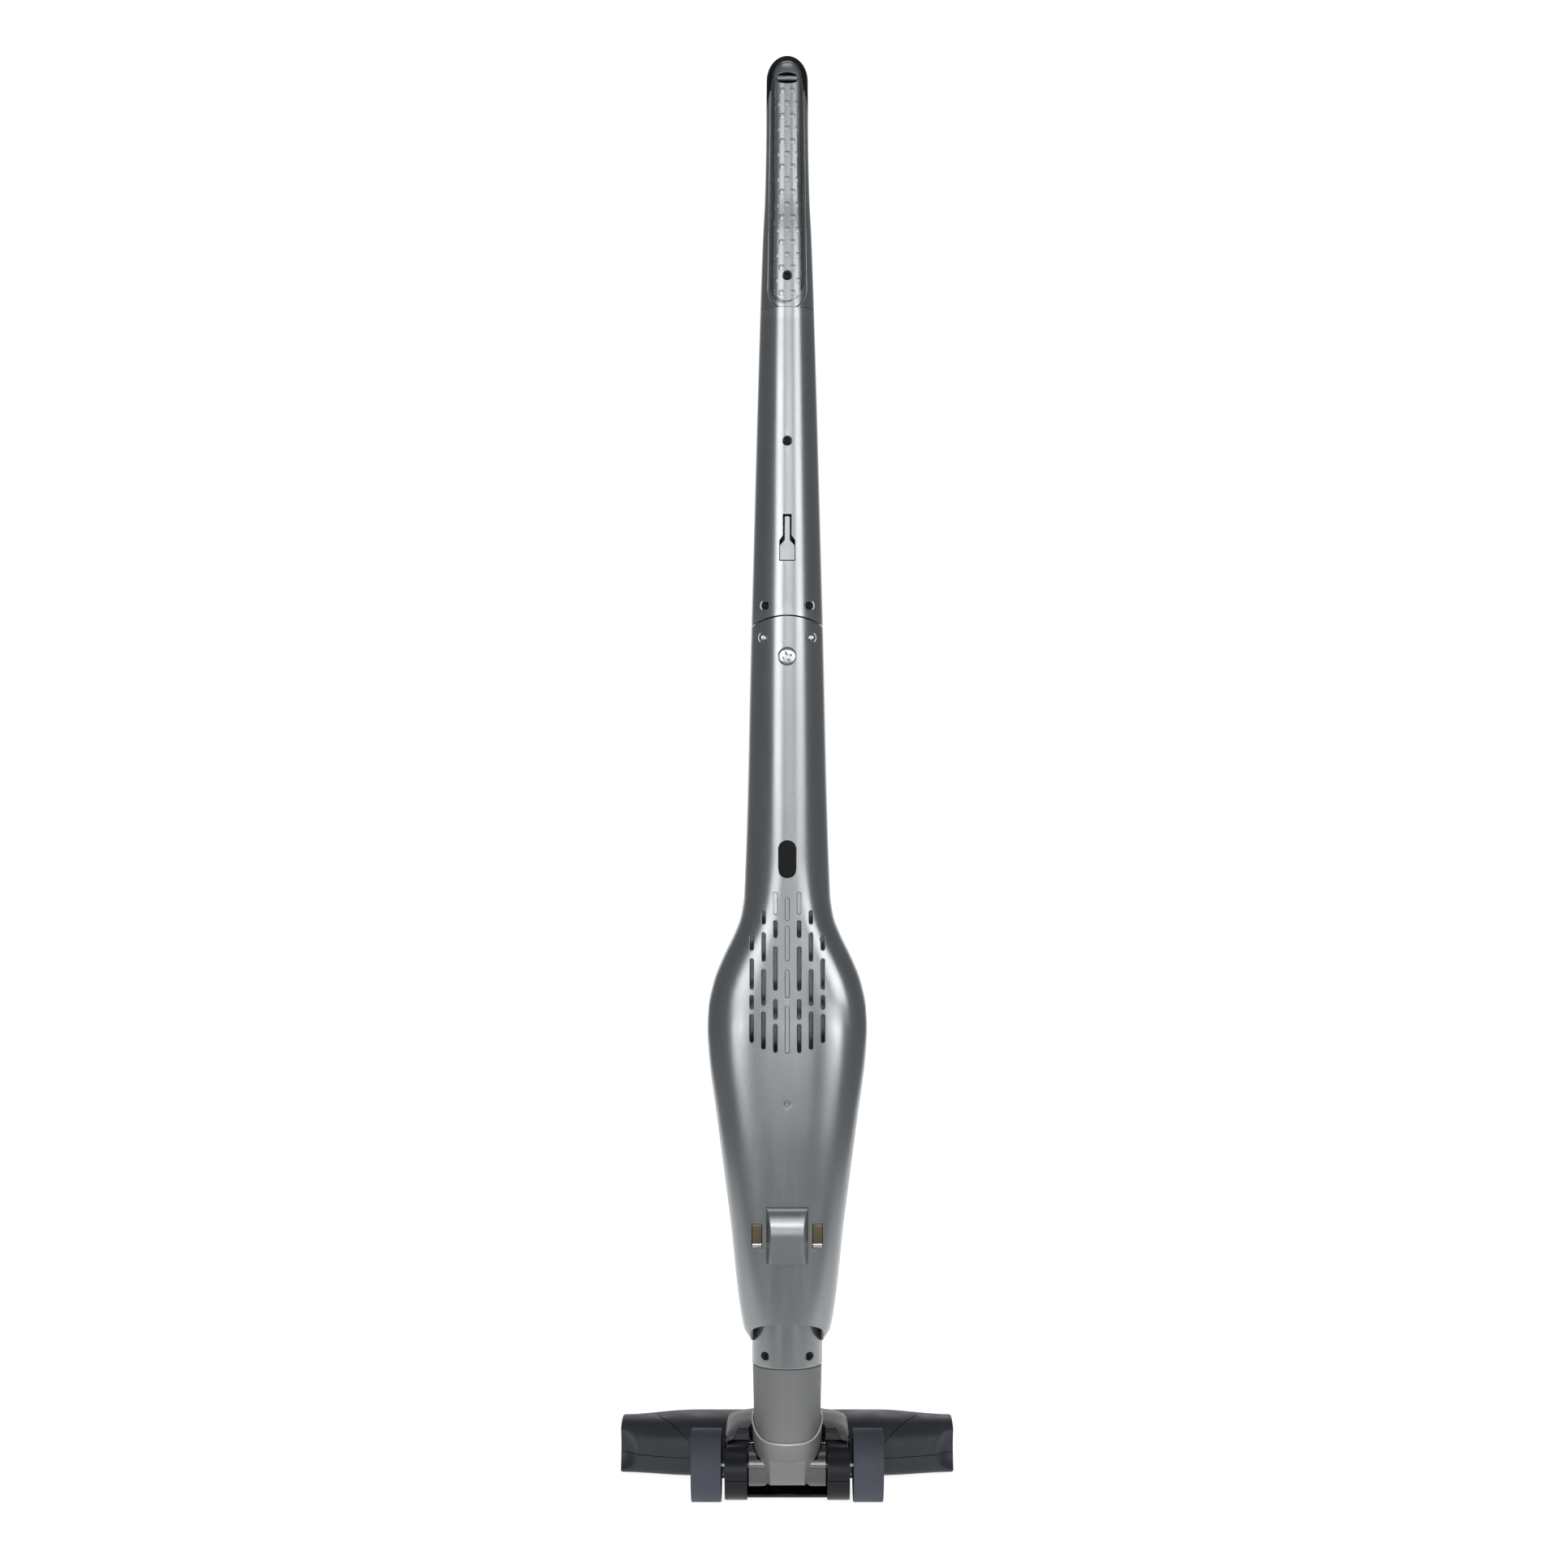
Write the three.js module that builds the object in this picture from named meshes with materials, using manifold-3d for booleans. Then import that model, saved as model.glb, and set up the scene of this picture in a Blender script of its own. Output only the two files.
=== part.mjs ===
// A cordless stick vacuum that stands upright: a floor head on two wheels, a knuckle that pitches and
// swivels, a long stick body with a handle, and a hand unit with its dust cup docked in the front.
// Millimetres, +Z up, front towards -Y, standing on z = 0.
import * as THREE from "three";
import { mergeVertices } from "three/addons/utils/BufferGeometryUtils.js";
import Module from "manifold-3d";

// ---- driving dimensions -------------------------------------------------------------------------
const GAP = 0.3; // clearance between neighbouring pieces
const WALL = 2.5; // moulded shell thickness

const WHEEL_RADIUS = 28;
const WHEEL_INNER_X = 51;
const WHEEL_OUTER_X = 74.3;
const AXLE_RADIUS = 2.5;
const AXLE_BORE_RADIUS = 2.8;
const AXLE_INNER_X = 25.5;
const PIVOT_Z = WHEEL_RADIUS; // the head pitches about the wheel axle

const EAR_INNER_X = 31;
const EAR_OUTER_X = 48.3;
const EAR_BOTTOM_Z = 2;
const EAR_TOP_Z = 46;
const EAR_REAR_Y = 24;
const EAR_FRONT_Y = -55;
const EAR_SEAM_Z = 21;
const CRADLE_FLOOR_TOP_Z = 5.4;

const NOZZLE_HALF_WIDTH = 134;
const NOZZLE_FRONT_Y = -130;
const NOZZLE_END_FRONT_Y = -122;
const NOZZLE_REAR_Y = -57;
const NOZZLE_END_REAR_Y = -70;
const NOZZLE_BOTTOM_Z = 4;
const NOZZLE_TOP_Z = 47;
const NOZZLE_END_TOP_Z = 43.5;
const NOZZLE_SEAM_Z = 18.6;
const MOUTH_HALF_WIDTH = 112;
const MOUTH_FRONT_Y = -121.4;
const MOUTH_REAR_Y = -82;
const END_COVER_CENTRE_X = 105; // the end covers start on an elliptical seam
const END_COVER_REACH_X = 33;
const END_COVER_BASE_Z = 12;
const END_COVER_RISE_Z = 33;

const BRUSH_Y = -104;
const BRUSH_Z = 19.5;
const BRUSH_CORE_RADIUS = 8;
const BRISTLE_RADIUS = 15;
const BRISTLE_LEFT_X = -107;
const BRISTLE_RIGHT_X = 95;
const BRUSH_SHAFT_X = 115;
const BRUSH_PULLEY_RADIUS = 9;
const MOTOR_PULLEY_RADIUS = 4.5;
const PULLEY_LEFT_X = 98.5;
const PULLEY_RIGHT_X = 103.5;
const HEAD_MOTOR_Y = -73;
const HEAD_MOTOR_RADIUS = 11;
const HEAD_MOTOR_LEFT_X = 46;
const HEAD_MOTOR_RIGHT_X = 88;
const HEAD_MOTOR_WALL = 2;
const ROTOR_RADIUS = 8.4;
const ROTOR_END_GAP = 3.5;
const BELT_THICKNESS = 1;

const DRUM_RADIUS = 16.5;
const DRUM_HALF_LENGTH = 30.4;
const COLLAR_BOTTOM_Z = 36;
const COLLAR_RADIUS = 27.5;
const COLLAR_BOTTOM_RADIUS = 25.4;
const COLLAR_RIM_Z = 61.7; // rim height on the neck's axis
const COLLAR_RIM_SLOPE = 0.41; // the rim falls towards the rear
const NECK_RADIUS = 26.1;
const NECK_TOP_RADIUS = 27.2;
const NECK_BOTTOM_Z = 45.5;
const NECK_INSERT_RADIUS = 23.6; // the neck's foot, seated inside the collar
const NECK_INSERT_TOP_Z = 50;
const COLLAR_WAIST_Z = 48;
const COLLAR_WAIST_RADIUS = 26.9;
const NECK_STRAIGHT_TOP_Z = 76; // above the collar the neck widens slightly
const NECK_TOP_Z = 107.5;
const DUCT_RADIUS = 17;

const SPIGOT_RADIUS = 27.4;
const SPIGOT_TOP_Z = 156;
const PARTING_Y = -6; // rear shells meet front shells here
const JOINT_CENTRE_Z = 686.4; // arched joint between body and handle
const JOINT_EDGE_Z = 676.6;
const JOINT_GAP = 1.2;
const GRIP_SEAM_Z = 925;
const HANDLE_TOP_Z = 1123.3;
const DOCK_WALL_Y = -14;
const DOCK_BOTTOM_Z = 158;
const DOCK_TOP_Z = 486;
const CUP_TOP_Z = 292;
const CUP_BOTTOM_Z = 185; // below it the cup's nozzle, with the inlet duct

const HOOK_BOTTOM_Z = 191.2;
const HOOK_TOP_Z = 235;
const HOOK_HALF_WIDTH = 15.5;
const HOOK_FACE_Y = 43.6;
const HOOK_WALL = 2.5;

// ---- solid helpers ------------------------------------------------------------------------------
const wasm = await Module();
wasm.setup();

// A closed geometry as a solid, turned to face outwards.
function solid(geometry) {
  const bare = geometry.index ? geometry.toNonIndexed() : geometry.clone();
  bare.deleteAttribute("normal");
  bare.deleteAttribute("uv");
  const merged = mergeVertices(bare, 1e-4);
  const vertProperties = new Float32Array(merged.attributes.position.array);
  const triVerts = new Uint32Array(merged.index.array);
  const made = new wasm.Manifold(new wasm.Mesh({ numProp: 3, vertProperties, triVerts }));
  if (made.volume() > 0) return made;
  for (let i = 0; i < triVerts.length; i += 3) {
    [triVerts[i + 1], triVerts[i + 2]] = [triVerts[i + 2], triVerts[i + 1]];
  }
  return new wasm.Manifold(new wasm.Mesh({ numProp: 3, vertProperties, triVerts }));
}

function geometryOf(made) {
  const mesh = made.getMesh();
  const geometry = new THREE.BufferGeometry();
  geometry.setAttribute("position", new THREE.BufferAttribute(new Float32Array(mesh.vertProperties), 3));
  geometry.setIndex(new THREE.BufferAttribute(new Uint32Array(mesh.triVerts), 1));
  geometry.computeVertexNormals();
  return geometry;
}

function union(...pieces) {
  return pieces.reduce((sum, piece) => sum.add(piece));
}

function cut(body, ...tools) {
  return tools.reduce((left, tool) => left.subtract(tool), body);
}

// A block between two corners.
function block([x0, y0, z0], [x1, y1, z1]) {
  const geometry = new THREE.BoxGeometry(x1 - x0, y1 - y0, z1 - z0);
  geometry.translate((x0 + x1) / 2, (y0 + y1) / 2, (z0 + z1) / 2);
  return solid(geometry);
}

// A cylinder or cone along one axis, from one coordinate to another, about a centre on the other two.
function rod(axis, from, to, centre, radius, endRadius = radius, sides = 24) {
  const geometry = new THREE.CylinderGeometry(endRadius, radius, to - from, sides);
  geometry.translate(0, (from + to) / 2, 0);
  const [u, v] = centre;
  if (axis === "x") geometry.rotateZ(-Math.PI / 2).translate(0, u, v);
  if (axis === "y") geometry.translate(u, 0, v);
  if (axis === "z") geometry.rotateX(Math.PI / 2).translate(u, v, 0);
  return solid(geometry);
}

// An outline of [u, v] points extruded along an axis: u, v are y, z along x; x, z along y; x, y along z.
function prism(axis, outline, from, to) {
  const shape = new THREE.Shape(outline.map(([u, v]) => new THREE.Vector2(u, v)));
  const geometry = new THREE.ExtrudeGeometry(shape, { depth: to - from, bevelEnabled: false });
  const basis = new THREE.Matrix4();
  const X = new THREE.Vector3(1, 0, 0);
  const Y = new THREE.Vector3(0, 1, 0);
  const Z = new THREE.Vector3(0, 0, 1);
  if (axis === "x") basis.makeBasis(Y, Z, X).setPosition(from, 0, 0);
  if (axis === "y") basis.makeBasis(X, Z, Y.clone().negate()).setPosition(0, to, 0);
  if (axis === "z") basis.setPosition(0, 0, from);
  return solid(geometry.applyMatrix4(basis));
}

// Points on an arc of an ellipse, from one angle to another in degrees.
function arc(centreU, centreV, radiusU, radiusV, fromDeg, toDeg, steps) {
  return Array.from({ length: steps + 1 }, (_, i) => {
    const angle = ((fromDeg + ((toDeg - fromDeg) * i) / steps) * Math.PI) / 180;
    return [centreU + radiusU * Math.cos(angle), centreV + radiusV * Math.sin(angle)];
  });
}

// An upright slot outline with round ends.
function slot(centreU, lowV, highV, halfWidth, steps = 4) {
  return [
    ...arc(centreU, highV - halfWidth, halfWidth, halfWidth, 0, 180, steps),
    ...arc(centreU, lowV + halfWidth, halfWidth, halfWidth, 180, 360, steps),
  ];
}

// A closed solid through rings of equal point count, capped by a fan at each end.
function loft(rings) {
  const count = rings[0].length;
  const positions = rings.flat(2);
  const index = [];
  for (let r = 0; r < rings.length - 1; r += 1) {
    for (let i = 0; i < count; i += 1) {
      const a = r * count + i;
      const b = r * count + ((i + 1) % count);
      index.push(a, b, b + count, a, b + count, a + count);
    }
  }
  const last = (rings.length - 1) * count;
  for (let i = 1; i < count - 1; i += 1) {
    index.push(0, i + 1, i);
    index.push(last, last + i, last + i + 1);
  }
  const geometry = new THREE.BufferGeometry();
  geometry.setAttribute("position", new THREE.Float32BufferAttribute(positions, 3));
  geometry.setIndex(index);
  return solid(geometry);
}

// Smooth value at t through stations [t, value], with flat ends and no overshoot.
function through(stations, t) {
  const last = stations.length - 1;
  if (t <= stations[0][0]) return stations[0][1];
  if (t >= stations[last][0]) return stations[last][1];
  const k = stations.findIndex(([at]) => at > t) - 1;
  const slope = (i) => (stations[i + 1][1] - stations[i][1]) / (stations[i + 1][0] - stations[i][0]);
  const tangent = (i) => {
    if (i === 0 || i === last) return slope(Math.min(i, last - 1));
    const before = slope(i - 1);
    const after = slope(i);
    return before * after <= 0 ? 0 : (2 * before * after) / (before + after);
  };
  const [t0, v0] = stations[k];
  const [t1, v1] = stations[k + 1];
  const h = t1 - t0;
  const s = (t - t0) / h;
  const curve = (2 * s ** 3 - 3 * s ** 2 + 1) * v0 + (3 * s ** 2 - 2 * s ** 3) * v1;
  return curve + h * ((s ** 3 - 2 * s ** 2 + s) * tangent(k) + (s ** 3 - s ** 2) * tangent(k + 1));
}

// A superellipse ring in a level plane: half-width, depth to the rear and to the front, squareness.
function levelRing(z, halfWidth, rear, front, squareness, count, centreY = 0) {
  return Array.from({ length: count }, (_, i) => {
    const angle = (2 * Math.PI * i) / count;
    const c = Math.cos(angle);
    const s = Math.sin(angle);
    const power = 2 / squareness;
    const depth = s > 0 ? rear : front;
    return [
      halfWidth * Math.sign(c) * Math.abs(c) ** power,
      centreY + depth * Math.sign(s) * Math.abs(s) ** power,
      z,
    ];
  });
}

// ---- outer forms of the stick -------------------------------------------------------------------
// Half-width, rear depth and squareness of the stick against height.
const HALF_WIDTH = [
  [126.6, 28.4], [131, 31.2], [136, 34], [221, 44.5], [297, 54.3], [347, 60.8], [368, 62], [385, 61.1],
  [404, 57.3], [423, 50], [441, 41.3], [455, 36], [473, 33.4], [681, 27.8], [927, 20.9], [983, 18.9],
  [1012, 17.4], [1050, 16.5], [1104, 16],
];
const REAR_DEPTH = [
  [126.6, 28.4], [136, 32.5], [221, 35], [300, 37], [368, 38], [420, 37], [455, 34.5], [473, 33],
  [681, 27.4], [927, 20.5], [983, 18.5], [1012, 17], [1104, 15.5],
];
const FRONT_DEPTH = [
  [126.6, 29], [136, 36], [150, 47], [170, 50], [205, 42], [250, 27], [470, 27], [500, 32], [681, 27.4],
  [927, 21], [1104, 17],
];
const SQUARENESS = [[136, 2.3], [221, 3], [300, 3.4], [385, 3.2], [455, 2.4], [500, 2], [1104, 2]];
const TIP_DOME_HEIGHT = 19.3; // the handle's tip closes as an ellipse over this height
const SIDES = 20;
const HOLLOW_SIDES = 12;

function halfWidthAt(z) {
  return through(HALF_WIDTH, z);
}

// How far the tip's dome has closed: 1 below it, 0 at the top.
function tipClosure(z) {
  const above = Math.max(0, z - (HANDLE_TOP_Z - TIP_DOME_HEIGHT)) / TIP_DOME_HEIGHT;
  return Math.sqrt(Math.max(0, 1 - above ** 2));
}

function stickRing(z, inset, sides) {
  const closure = tipClosure(z);
  return levelRing(
    z,
    Math.max(1, halfWidthAt(z) * closure - inset),
    Math.max(1, through(REAR_DEPTH, z) * closure - inset),
    Math.max(1, through(FRONT_DEPTH, z) * closure - inset),
    through(SQUARENESS, z),
    sides,
  );
}

// The stick's full form between two heights, set in from the outer surface.
function stick(levels, inset = 0, sides = SIDES) {
  return loft(levels.map((z) => stickRing(z, inset, sides)));
}

// The space inside the stick's walls between two heights.
function hollow(levels, wall = WALL) {
  return stick(levels, wall, HOLLOW_SIDES);
}

// Rear surface of the stick at a point across and up.
function rearSurfaceY(x, z) {
  const across = Math.abs(x / halfWidthAt(z)) ** through(SQUARENESS, z);
  return through(REAR_DEPTH, z) * (1 - across) ** (1 / through(SQUARENESS, z));
}

const BODY_LEVELS = [
  126.6, 131, 136, 221, 297, 347, 368, 385, 404, 423, 441, 455, 473, 690,
];
const INNER_LEVELS = [221, 297, 347, 385, 423, 455, 480];
const DOCK_FOOT_LEVELS = [126.6, 136, 143, 150, 160, 170, 186, 205, 221, 250, 297];
const HANDLE_LEVELS = [670, 760, 850, 927, 983, 1012, 1050, 1104];
const TIP_LEVELS = [1110, 1116, 1120, 1122.4, HANDLE_TOP_Z];
const FAR = 400;

const REAR_HALF = block([-FAR, PARTING_Y, 0], [FAR, FAR, 1200]);
const FRONT_HALF = block([-FAR, -FAR, 0], [FAR, PARTING_Y - GAP, 1200]);

function levelsBetween(levels, low, high) {
  return [low, ...levels.filter((z) => z > low && z < high), high];
}

// The arched joint as an outline that fills everything above it, lowered or raised by an offset.
function aboveArch(offset, centreZ, edgeZ, reachX) {
  const bottom = Array.from({ length: 9 }, (_, i) => {
    const x = -reachX + (2 * reachX * i) / 8;
    return [x, centreZ + (edgeZ - centreZ) * (x / reachX) ** 2 + offset];
  });
  return [...bottom, [reachX, 1300], [-reachX, 1300]];
}

const ABOVE_BODY_JOINT = prism("y", aboveArch(JOINT_GAP, JOINT_CENTRE_Z, JOINT_EDGE_Z, 32), -60, 60);
const ABOVE_BODY_TOP = prism("y", aboveArch(0, JOINT_CENTRE_Z, JOINT_EDGE_Z, 32), -60, 60);

// ---- materials ----------------------------------------------------------------------------------
function finish(color, roughness, metalness, opacity = 1) {
  const transparent = opacity < 1;
  return new THREE.MeshStandardMaterial({ color, roughness, metalness, opacity, transparent });
}
const SILVER = finish(0x848a8c, 0.32, 0.6);
const SATIN_GREY = finish(0x7a7c7a, 0.5, 0.2);
const SLATE = finish(0x3c3f46, 0.45, 0);
const WHEEL_GREY = finish(0x464a54, 0.6, 0);
const BLACK = finish(0x232629, 0.4, 0);
const GLOSS_BLACK = finish(0x0d0e10, 0.15, 0);
const STEEL = finish(0xc8cacc, 0.25, 1);
const BRONZE = finish(0x7c6a4c, 0.35, 0.9);
const RUBBER = finish(0x1c1c1e, 0.85, 0);
const DRUM_GREY = finish(0x63666a, 0.25, 0.7);
const CLEAR = finish(0xb9c4c8, 0.1, 0, 0.35);
const BRISTLE = finish(0x5a5e66, 0.9, 0);
const FILTER_WHITE = finish(0xe6e6e0, 0.9, 0);
const BATTERY_BLUE = finish(0x34527a, 0.5, 0);

const vacuum = new THREE.Group();

function add(name, made, material) {
  const mesh = new THREE.Mesh(geometryOf(made), material);
  mesh.name = name;
  vacuum.add(mesh);
}

const SIDES_OF = [["left", 1], ["right", -1]];

// The same solid on the other side when side is -1.
function onSide(side, made) {
  if (side > 0) return made;
  const geometry = geometryOf(made).applyMatrix4(new THREE.Matrix4().makeScale(-1, 1, 1));
  return solid(geometry);
}

// ---- floor head ---------------------------------------------------------------------------------
function nozzleReach(x) {
  const far = Math.max(0, (Math.abs(x) - 74) / (NOZZLE_HALF_WIDTH - 74));
  return far ** 2 * (3 - 2 * far);
}

// A side-view ring of the nozzle, rounded and squarish, at one place across.
function nozzleRing(x, inset) {
  const t = nozzleReach(x);
  const front = THREE.MathUtils.lerp(NOZZLE_FRONT_Y, NOZZLE_END_FRONT_Y, t) + inset;
  const rear = THREE.MathUtils.lerp(NOZZLE_REAR_Y, NOZZLE_END_REAR_Y, t) - inset;
  const top = THREE.MathUtils.lerp(NOZZLE_TOP_Z, NOZZLE_END_TOP_Z, t) - inset;
  const bottom = NOZZLE_BOTTOM_Z + inset;
  const count = 20;
  return Array.from({ length: count }, (_, i) => {
    const angle = (2 * Math.PI * i) / count;
    const c = Math.cos(angle);
    const s = Math.sin(angle);
    const power = s > 0 ? 0.78 : 0.4; // rounder above, squarer below
    return [
      x,
      (front + rear) / 2 + ((rear - front) / 2) * Math.sign(c) * Math.abs(c) ** power,
      (top + bottom) / 2 + ((top - bottom) / 2) * Math.sign(s) * Math.abs(s) ** power,
    ];
  });
}

function nozzle(reach, inset) {
  const stations = [-1, -0.86, -0.7, -0.55, 0.55, 0.7, 0.86, 1];
  return loft(stations.map((s) => nozzleRing(s * reach, inset)));
}

// The end's rear corner is scooped by a tilted ellipsoid.
function endScoop(side) {
  const ball = new THREE.SphereGeometry(1, 14, 10);
  ball.scale(17, 26, 25).rotateZ(-0.35 * side).translate(side * (NOZZLE_HALF_WIDTH + 4), -54, 23);
  return solid(ball);
}

function endCoverPrism(side, gap) {
  const seam = arc(
    END_COVER_CENTRE_X, END_COVER_BASE_Z, END_COVER_REACH_X - gap, END_COVER_RISE_Z - gap, 90, 180, 6,
  );
  const outline = [[FAR, NOZZLE_SEAM_Z + GAP], [FAR, 90], [END_COVER_CENTRE_X + gap, 90], ...seam];
  const above = outline.filter(([, z]) => z >= NOZZLE_SEAM_Z + GAP);
  const low = (NOZZLE_SEAM_Z + GAP - END_COVER_BASE_Z) / (END_COVER_RISE_Z - gap);
  const lowX = END_COVER_CENTRE_X - (END_COVER_REACH_X - gap) * Math.sqrt(1 - low ** 2);
  const closed = [...above, [lowX, NOZZLE_SEAM_Z + GAP]];
  return prism("y", closed.map(([x, z]) => [side * x, z]), -FAR, FAR);
}

const BRUSH_SPACE = rod(
  "x", -(BRUSH_SHAFT_X + 2), BRUSH_SHAFT_X + 2, [BRUSH_Y, BRUSH_Z], BRISTLE_RADIUS + 2.5,
);
const DUCT_OUTER = block([-20, -81, 12], [20, -18.2, 34.5]);

function addNozzle() {
  const scoops = union(endScoop(1), endScoop(-1));
  const outer = cut(nozzle(NOZZLE_HALF_WIDTH, 0), scoops);
  const inner = cut(nozzle(NOZZLE_HALF_WIDTH - WALL, WALL), scoops.translate([0, -WALL, 0]));
  const hollow = union(cut(inner, block([-FAR, -76, 0], [FAR, -FAR + 800, 6])), BRUSH_SPACE);
  const ductWay = block([-20.4, -90, 11.6], [20.4, 0, 34.9]);
  const mouth = block([-MOUTH_HALF_WIDTH, MOUTH_FRONT_Y, 0], [MOUTH_HALF_WIDTH, MOUTH_REAR_Y, 30]);
  const glideWay = block([-60.4, -78.4, 0], [60.4, -67.6, 6]);
  const shell = cut(outer, hollow, ductWay);
  const above = block([-FAR, -FAR, NOZZLE_SEAM_Z + GAP], [FAR, FAR, 90]);
  const below = block([-FAR, -FAR, NOZZLE_BOTTOM_Z + 0.01], [FAR, FAR, NOZZLE_SEAM_Z]);
  add("nozzle_lower_shell", cut(shell.intersect(below), mouth, glideWay), SLATE);
  const upper = shell.intersect(above);
  const covers = union(endCoverPrism(1, -GAP / 2), endCoverPrism(-1, -GAP / 2));
  const shroudSeat = block([-EAR_OUTER_X - 0.6, -74, 0], [EAR_OUTER_X + 0.6, FAR, 90]);
  add("nozzle_upper_shell", cut(upper, covers, shroudSeat), SLATE);
  for (const [label, side] of SIDES_OF) {
    add(`nozzle_end_cover_${label}`, upper.intersect(endCoverPrism(side, GAP / 2)), SLATE);
  }
  add("glide_strip", block([-60, -78, 0], [60, -68, 5.8]), RUBBER);
}
addNozzle();

function addBrush() {
  const centre = [BRUSH_Y, BRUSH_Z];
  for (const [label, side] of SIDES_OF) {
    const from = side > 0 ? 108.5 : -114;
    const bearing = cut(
      block([from, BRUSH_Y - 9, BRUSH_Z - 9], [from + 5.5, BRUSH_Y + 9, BRUSH_Z + 9]),
      rod("x", from - 1, from + 7, centre, 3.3, 3.3, 16),
    );
    add(`brush_bearing_${label}`, bearing, BLACK);
  }
  const core = union(
    rod("x", BRISTLE_LEFT_X, BRISTLE_RIGHT_X, centre, BRUSH_CORE_RADIUS),
    rod("x", -BRUSH_SHAFT_X, BRUSH_SHAFT_X, centre, 2.8, 2.8, 16),
  );
  add("brush_core", core, STEEL);
  add("bristle_rows", bristleRows(), BRISTLE);
  const bore = rod("x", PULLEY_LEFT_X - 1, PULLEY_RIGHT_X + 1, centre, 3.2, 3.2, 16);
  const pulley = cut(rod("x", PULLEY_LEFT_X, PULLEY_RIGHT_X, centre, BRUSH_PULLEY_RADIUS), bore);
  add("brush_pulley", pulley, BLACK);
}

// Bristle rows: a sleeve on the core whose section has four fins and twists half a turn along the roll.
function bristleRows() {
  const fins = 4;
  const perFin = 6;
  const profile = Array.from({ length: fins * perFin }, (_, i) => {
    const inFin = i % perFin;
    const radius = inFin === 1 || inFin === 2 ? BRISTLE_RADIUS : BRUSH_CORE_RADIUS + 1.5;
    const width = inFin === 1 || inFin === 2 ? 0.09 : 0.16;
    const offsets = [-width, -0.09, 0.09, width, 0.5, 0.95];
    return [radius, (Math.floor(i / perFin) * Math.PI) / 2 + offsets[inFin]];
  });
  const steps = 8;
  const rings = Array.from({ length: steps + 1 }, (_, i) => {
    const t = i / steps;
    const x = THREE.MathUtils.lerp(BRISTLE_LEFT_X + 1, BRISTLE_RIGHT_X - 1, t);
    return profile.map(([radius, angle]) => [
      x,
      BRUSH_Y + radius * Math.cos(angle + Math.PI * t),
      BRUSH_Z + radius * Math.sin(angle + Math.PI * t),
    ]);
  });
  const bore = rod("x", -FAR, FAR, [BRUSH_Y, BRUSH_Z], BRUSH_CORE_RADIUS + GAP);
  return cut(loft(rings), bore);
}
addBrush();

// The outline of a belt round both pulleys, a clearance off their rims.
function beltOutline(clearance) {
  const big = BRUSH_PULLEY_RADIUS + clearance;
  const small = MOTOR_PULLEY_RADIUS + clearance;
  return [
    ...arc(HEAD_MOTOR_Y, BRUSH_Z, small, small, -82, 82, 6),
    ...arc(BRUSH_Y, BRUSH_Z, big, big, 82, 278, 10),
  ];
}

function addBrushDrive() {
  const centre = [HEAD_MOTOR_Y, BRUSH_Z];
  const chamber = [HEAD_MOTOR_LEFT_X + HEAD_MOTOR_WALL, HEAD_MOTOR_RIGHT_X - HEAD_MOTOR_WALL];
  const can = cut(
    rod("x", HEAD_MOTOR_LEFT_X, HEAD_MOTOR_RIGHT_X, centre, HEAD_MOTOR_RADIUS),
    rod("x", ...chamber, centre, HEAD_MOTOR_RADIUS - HEAD_MOTOR_WALL),
    rod("x", chamber[1] - 1, HEAD_MOTOR_RIGHT_X + 1, centre, 2, 2, 12),
  );
  add("brush_motor", can, STEEL);
  const pulley = union(
    rod("x", PULLEY_LEFT_X, PULLEY_RIGHT_X, centre, MOTOR_PULLEY_RADIUS, MOTOR_PULLEY_RADIUS, 16),
    rod("x", chamber[1] - ROTOR_END_GAP - 1, PULLEY_LEFT_X + 1, centre, 1.6, 1.6, 12),
    rod("x", chamber[0] + ROTOR_END_GAP, chamber[1] - ROTOR_END_GAP, centre, ROTOR_RADIUS),
  );
  add("motor_pulley", pulley, STEEL);
  const belt = cut(
    prism("x", beltOutline(GAP + BELT_THICKNESS), PULLEY_LEFT_X + 0.3, PULLEY_RIGHT_X - 0.3),
    prism("x", beltOutline(GAP), PULLEY_LEFT_X, PULLEY_RIGHT_X),
  );
  add("drive_belt", belt, RUBBER);
  const duct = cut(DUCT_OUTER, block([-18, -100, 14], [18, 0, 32.5]));
  add("air_duct", duct, BLACK);
}
addBrushDrive();

// ---- cradle, shroud and wheels ------------------------------------------------------------------
function earOutline() {
  const radius = (EAR_TOP_Z - EAR_BOTTOM_Z) / 2;
  const centreY = EAR_REAR_Y - radius;
  const centreZ = EAR_BOTTOM_Z + radius;
  return [
    [EAR_FRONT_Y, EAR_BOTTOM_Z],
    ...arc(centreY, centreZ, radius, radius, -90, 90, 12),
    [EAR_FRONT_Y, EAR_TOP_Z],
  ];
}

function addCradle() {
  const bore = rod("x", -FAR, FAR, [0, PIVOT_Z], AXLE_BORE_RADIUS, AXLE_BORE_RADIUS, 16);
  const ears = SIDES_OF.map(([, side]) => {
    const edges = [side * EAR_INNER_X, side * EAR_OUTER_X].sort((a, b) => a - b);
    return cut(prism("x", earOutline(), edges[0], edges[1]), bore);
  });
  const below = block([-FAR, -FAR, 0], [FAR, FAR, EAR_SEAM_Z]);
  const above = block([-FAR, -FAR, EAR_SEAM_Z + GAP], [FAR, FAR, 90]);
  const floor = block([-EAR_INNER_X - 1, EAR_FRONT_Y, 2.4], [EAR_INNER_X + 1, 0, CRADLE_FLOOR_TOP_Z]);
  add("cradle_base", union(ears[0], ears[1]).intersect(below).add(floor), BLACK);
  SIDES_OF.forEach(([label], i) => add(`cradle_cap_${label}`, ears[i].intersect(above), BLACK));
}
addCradle();

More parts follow.
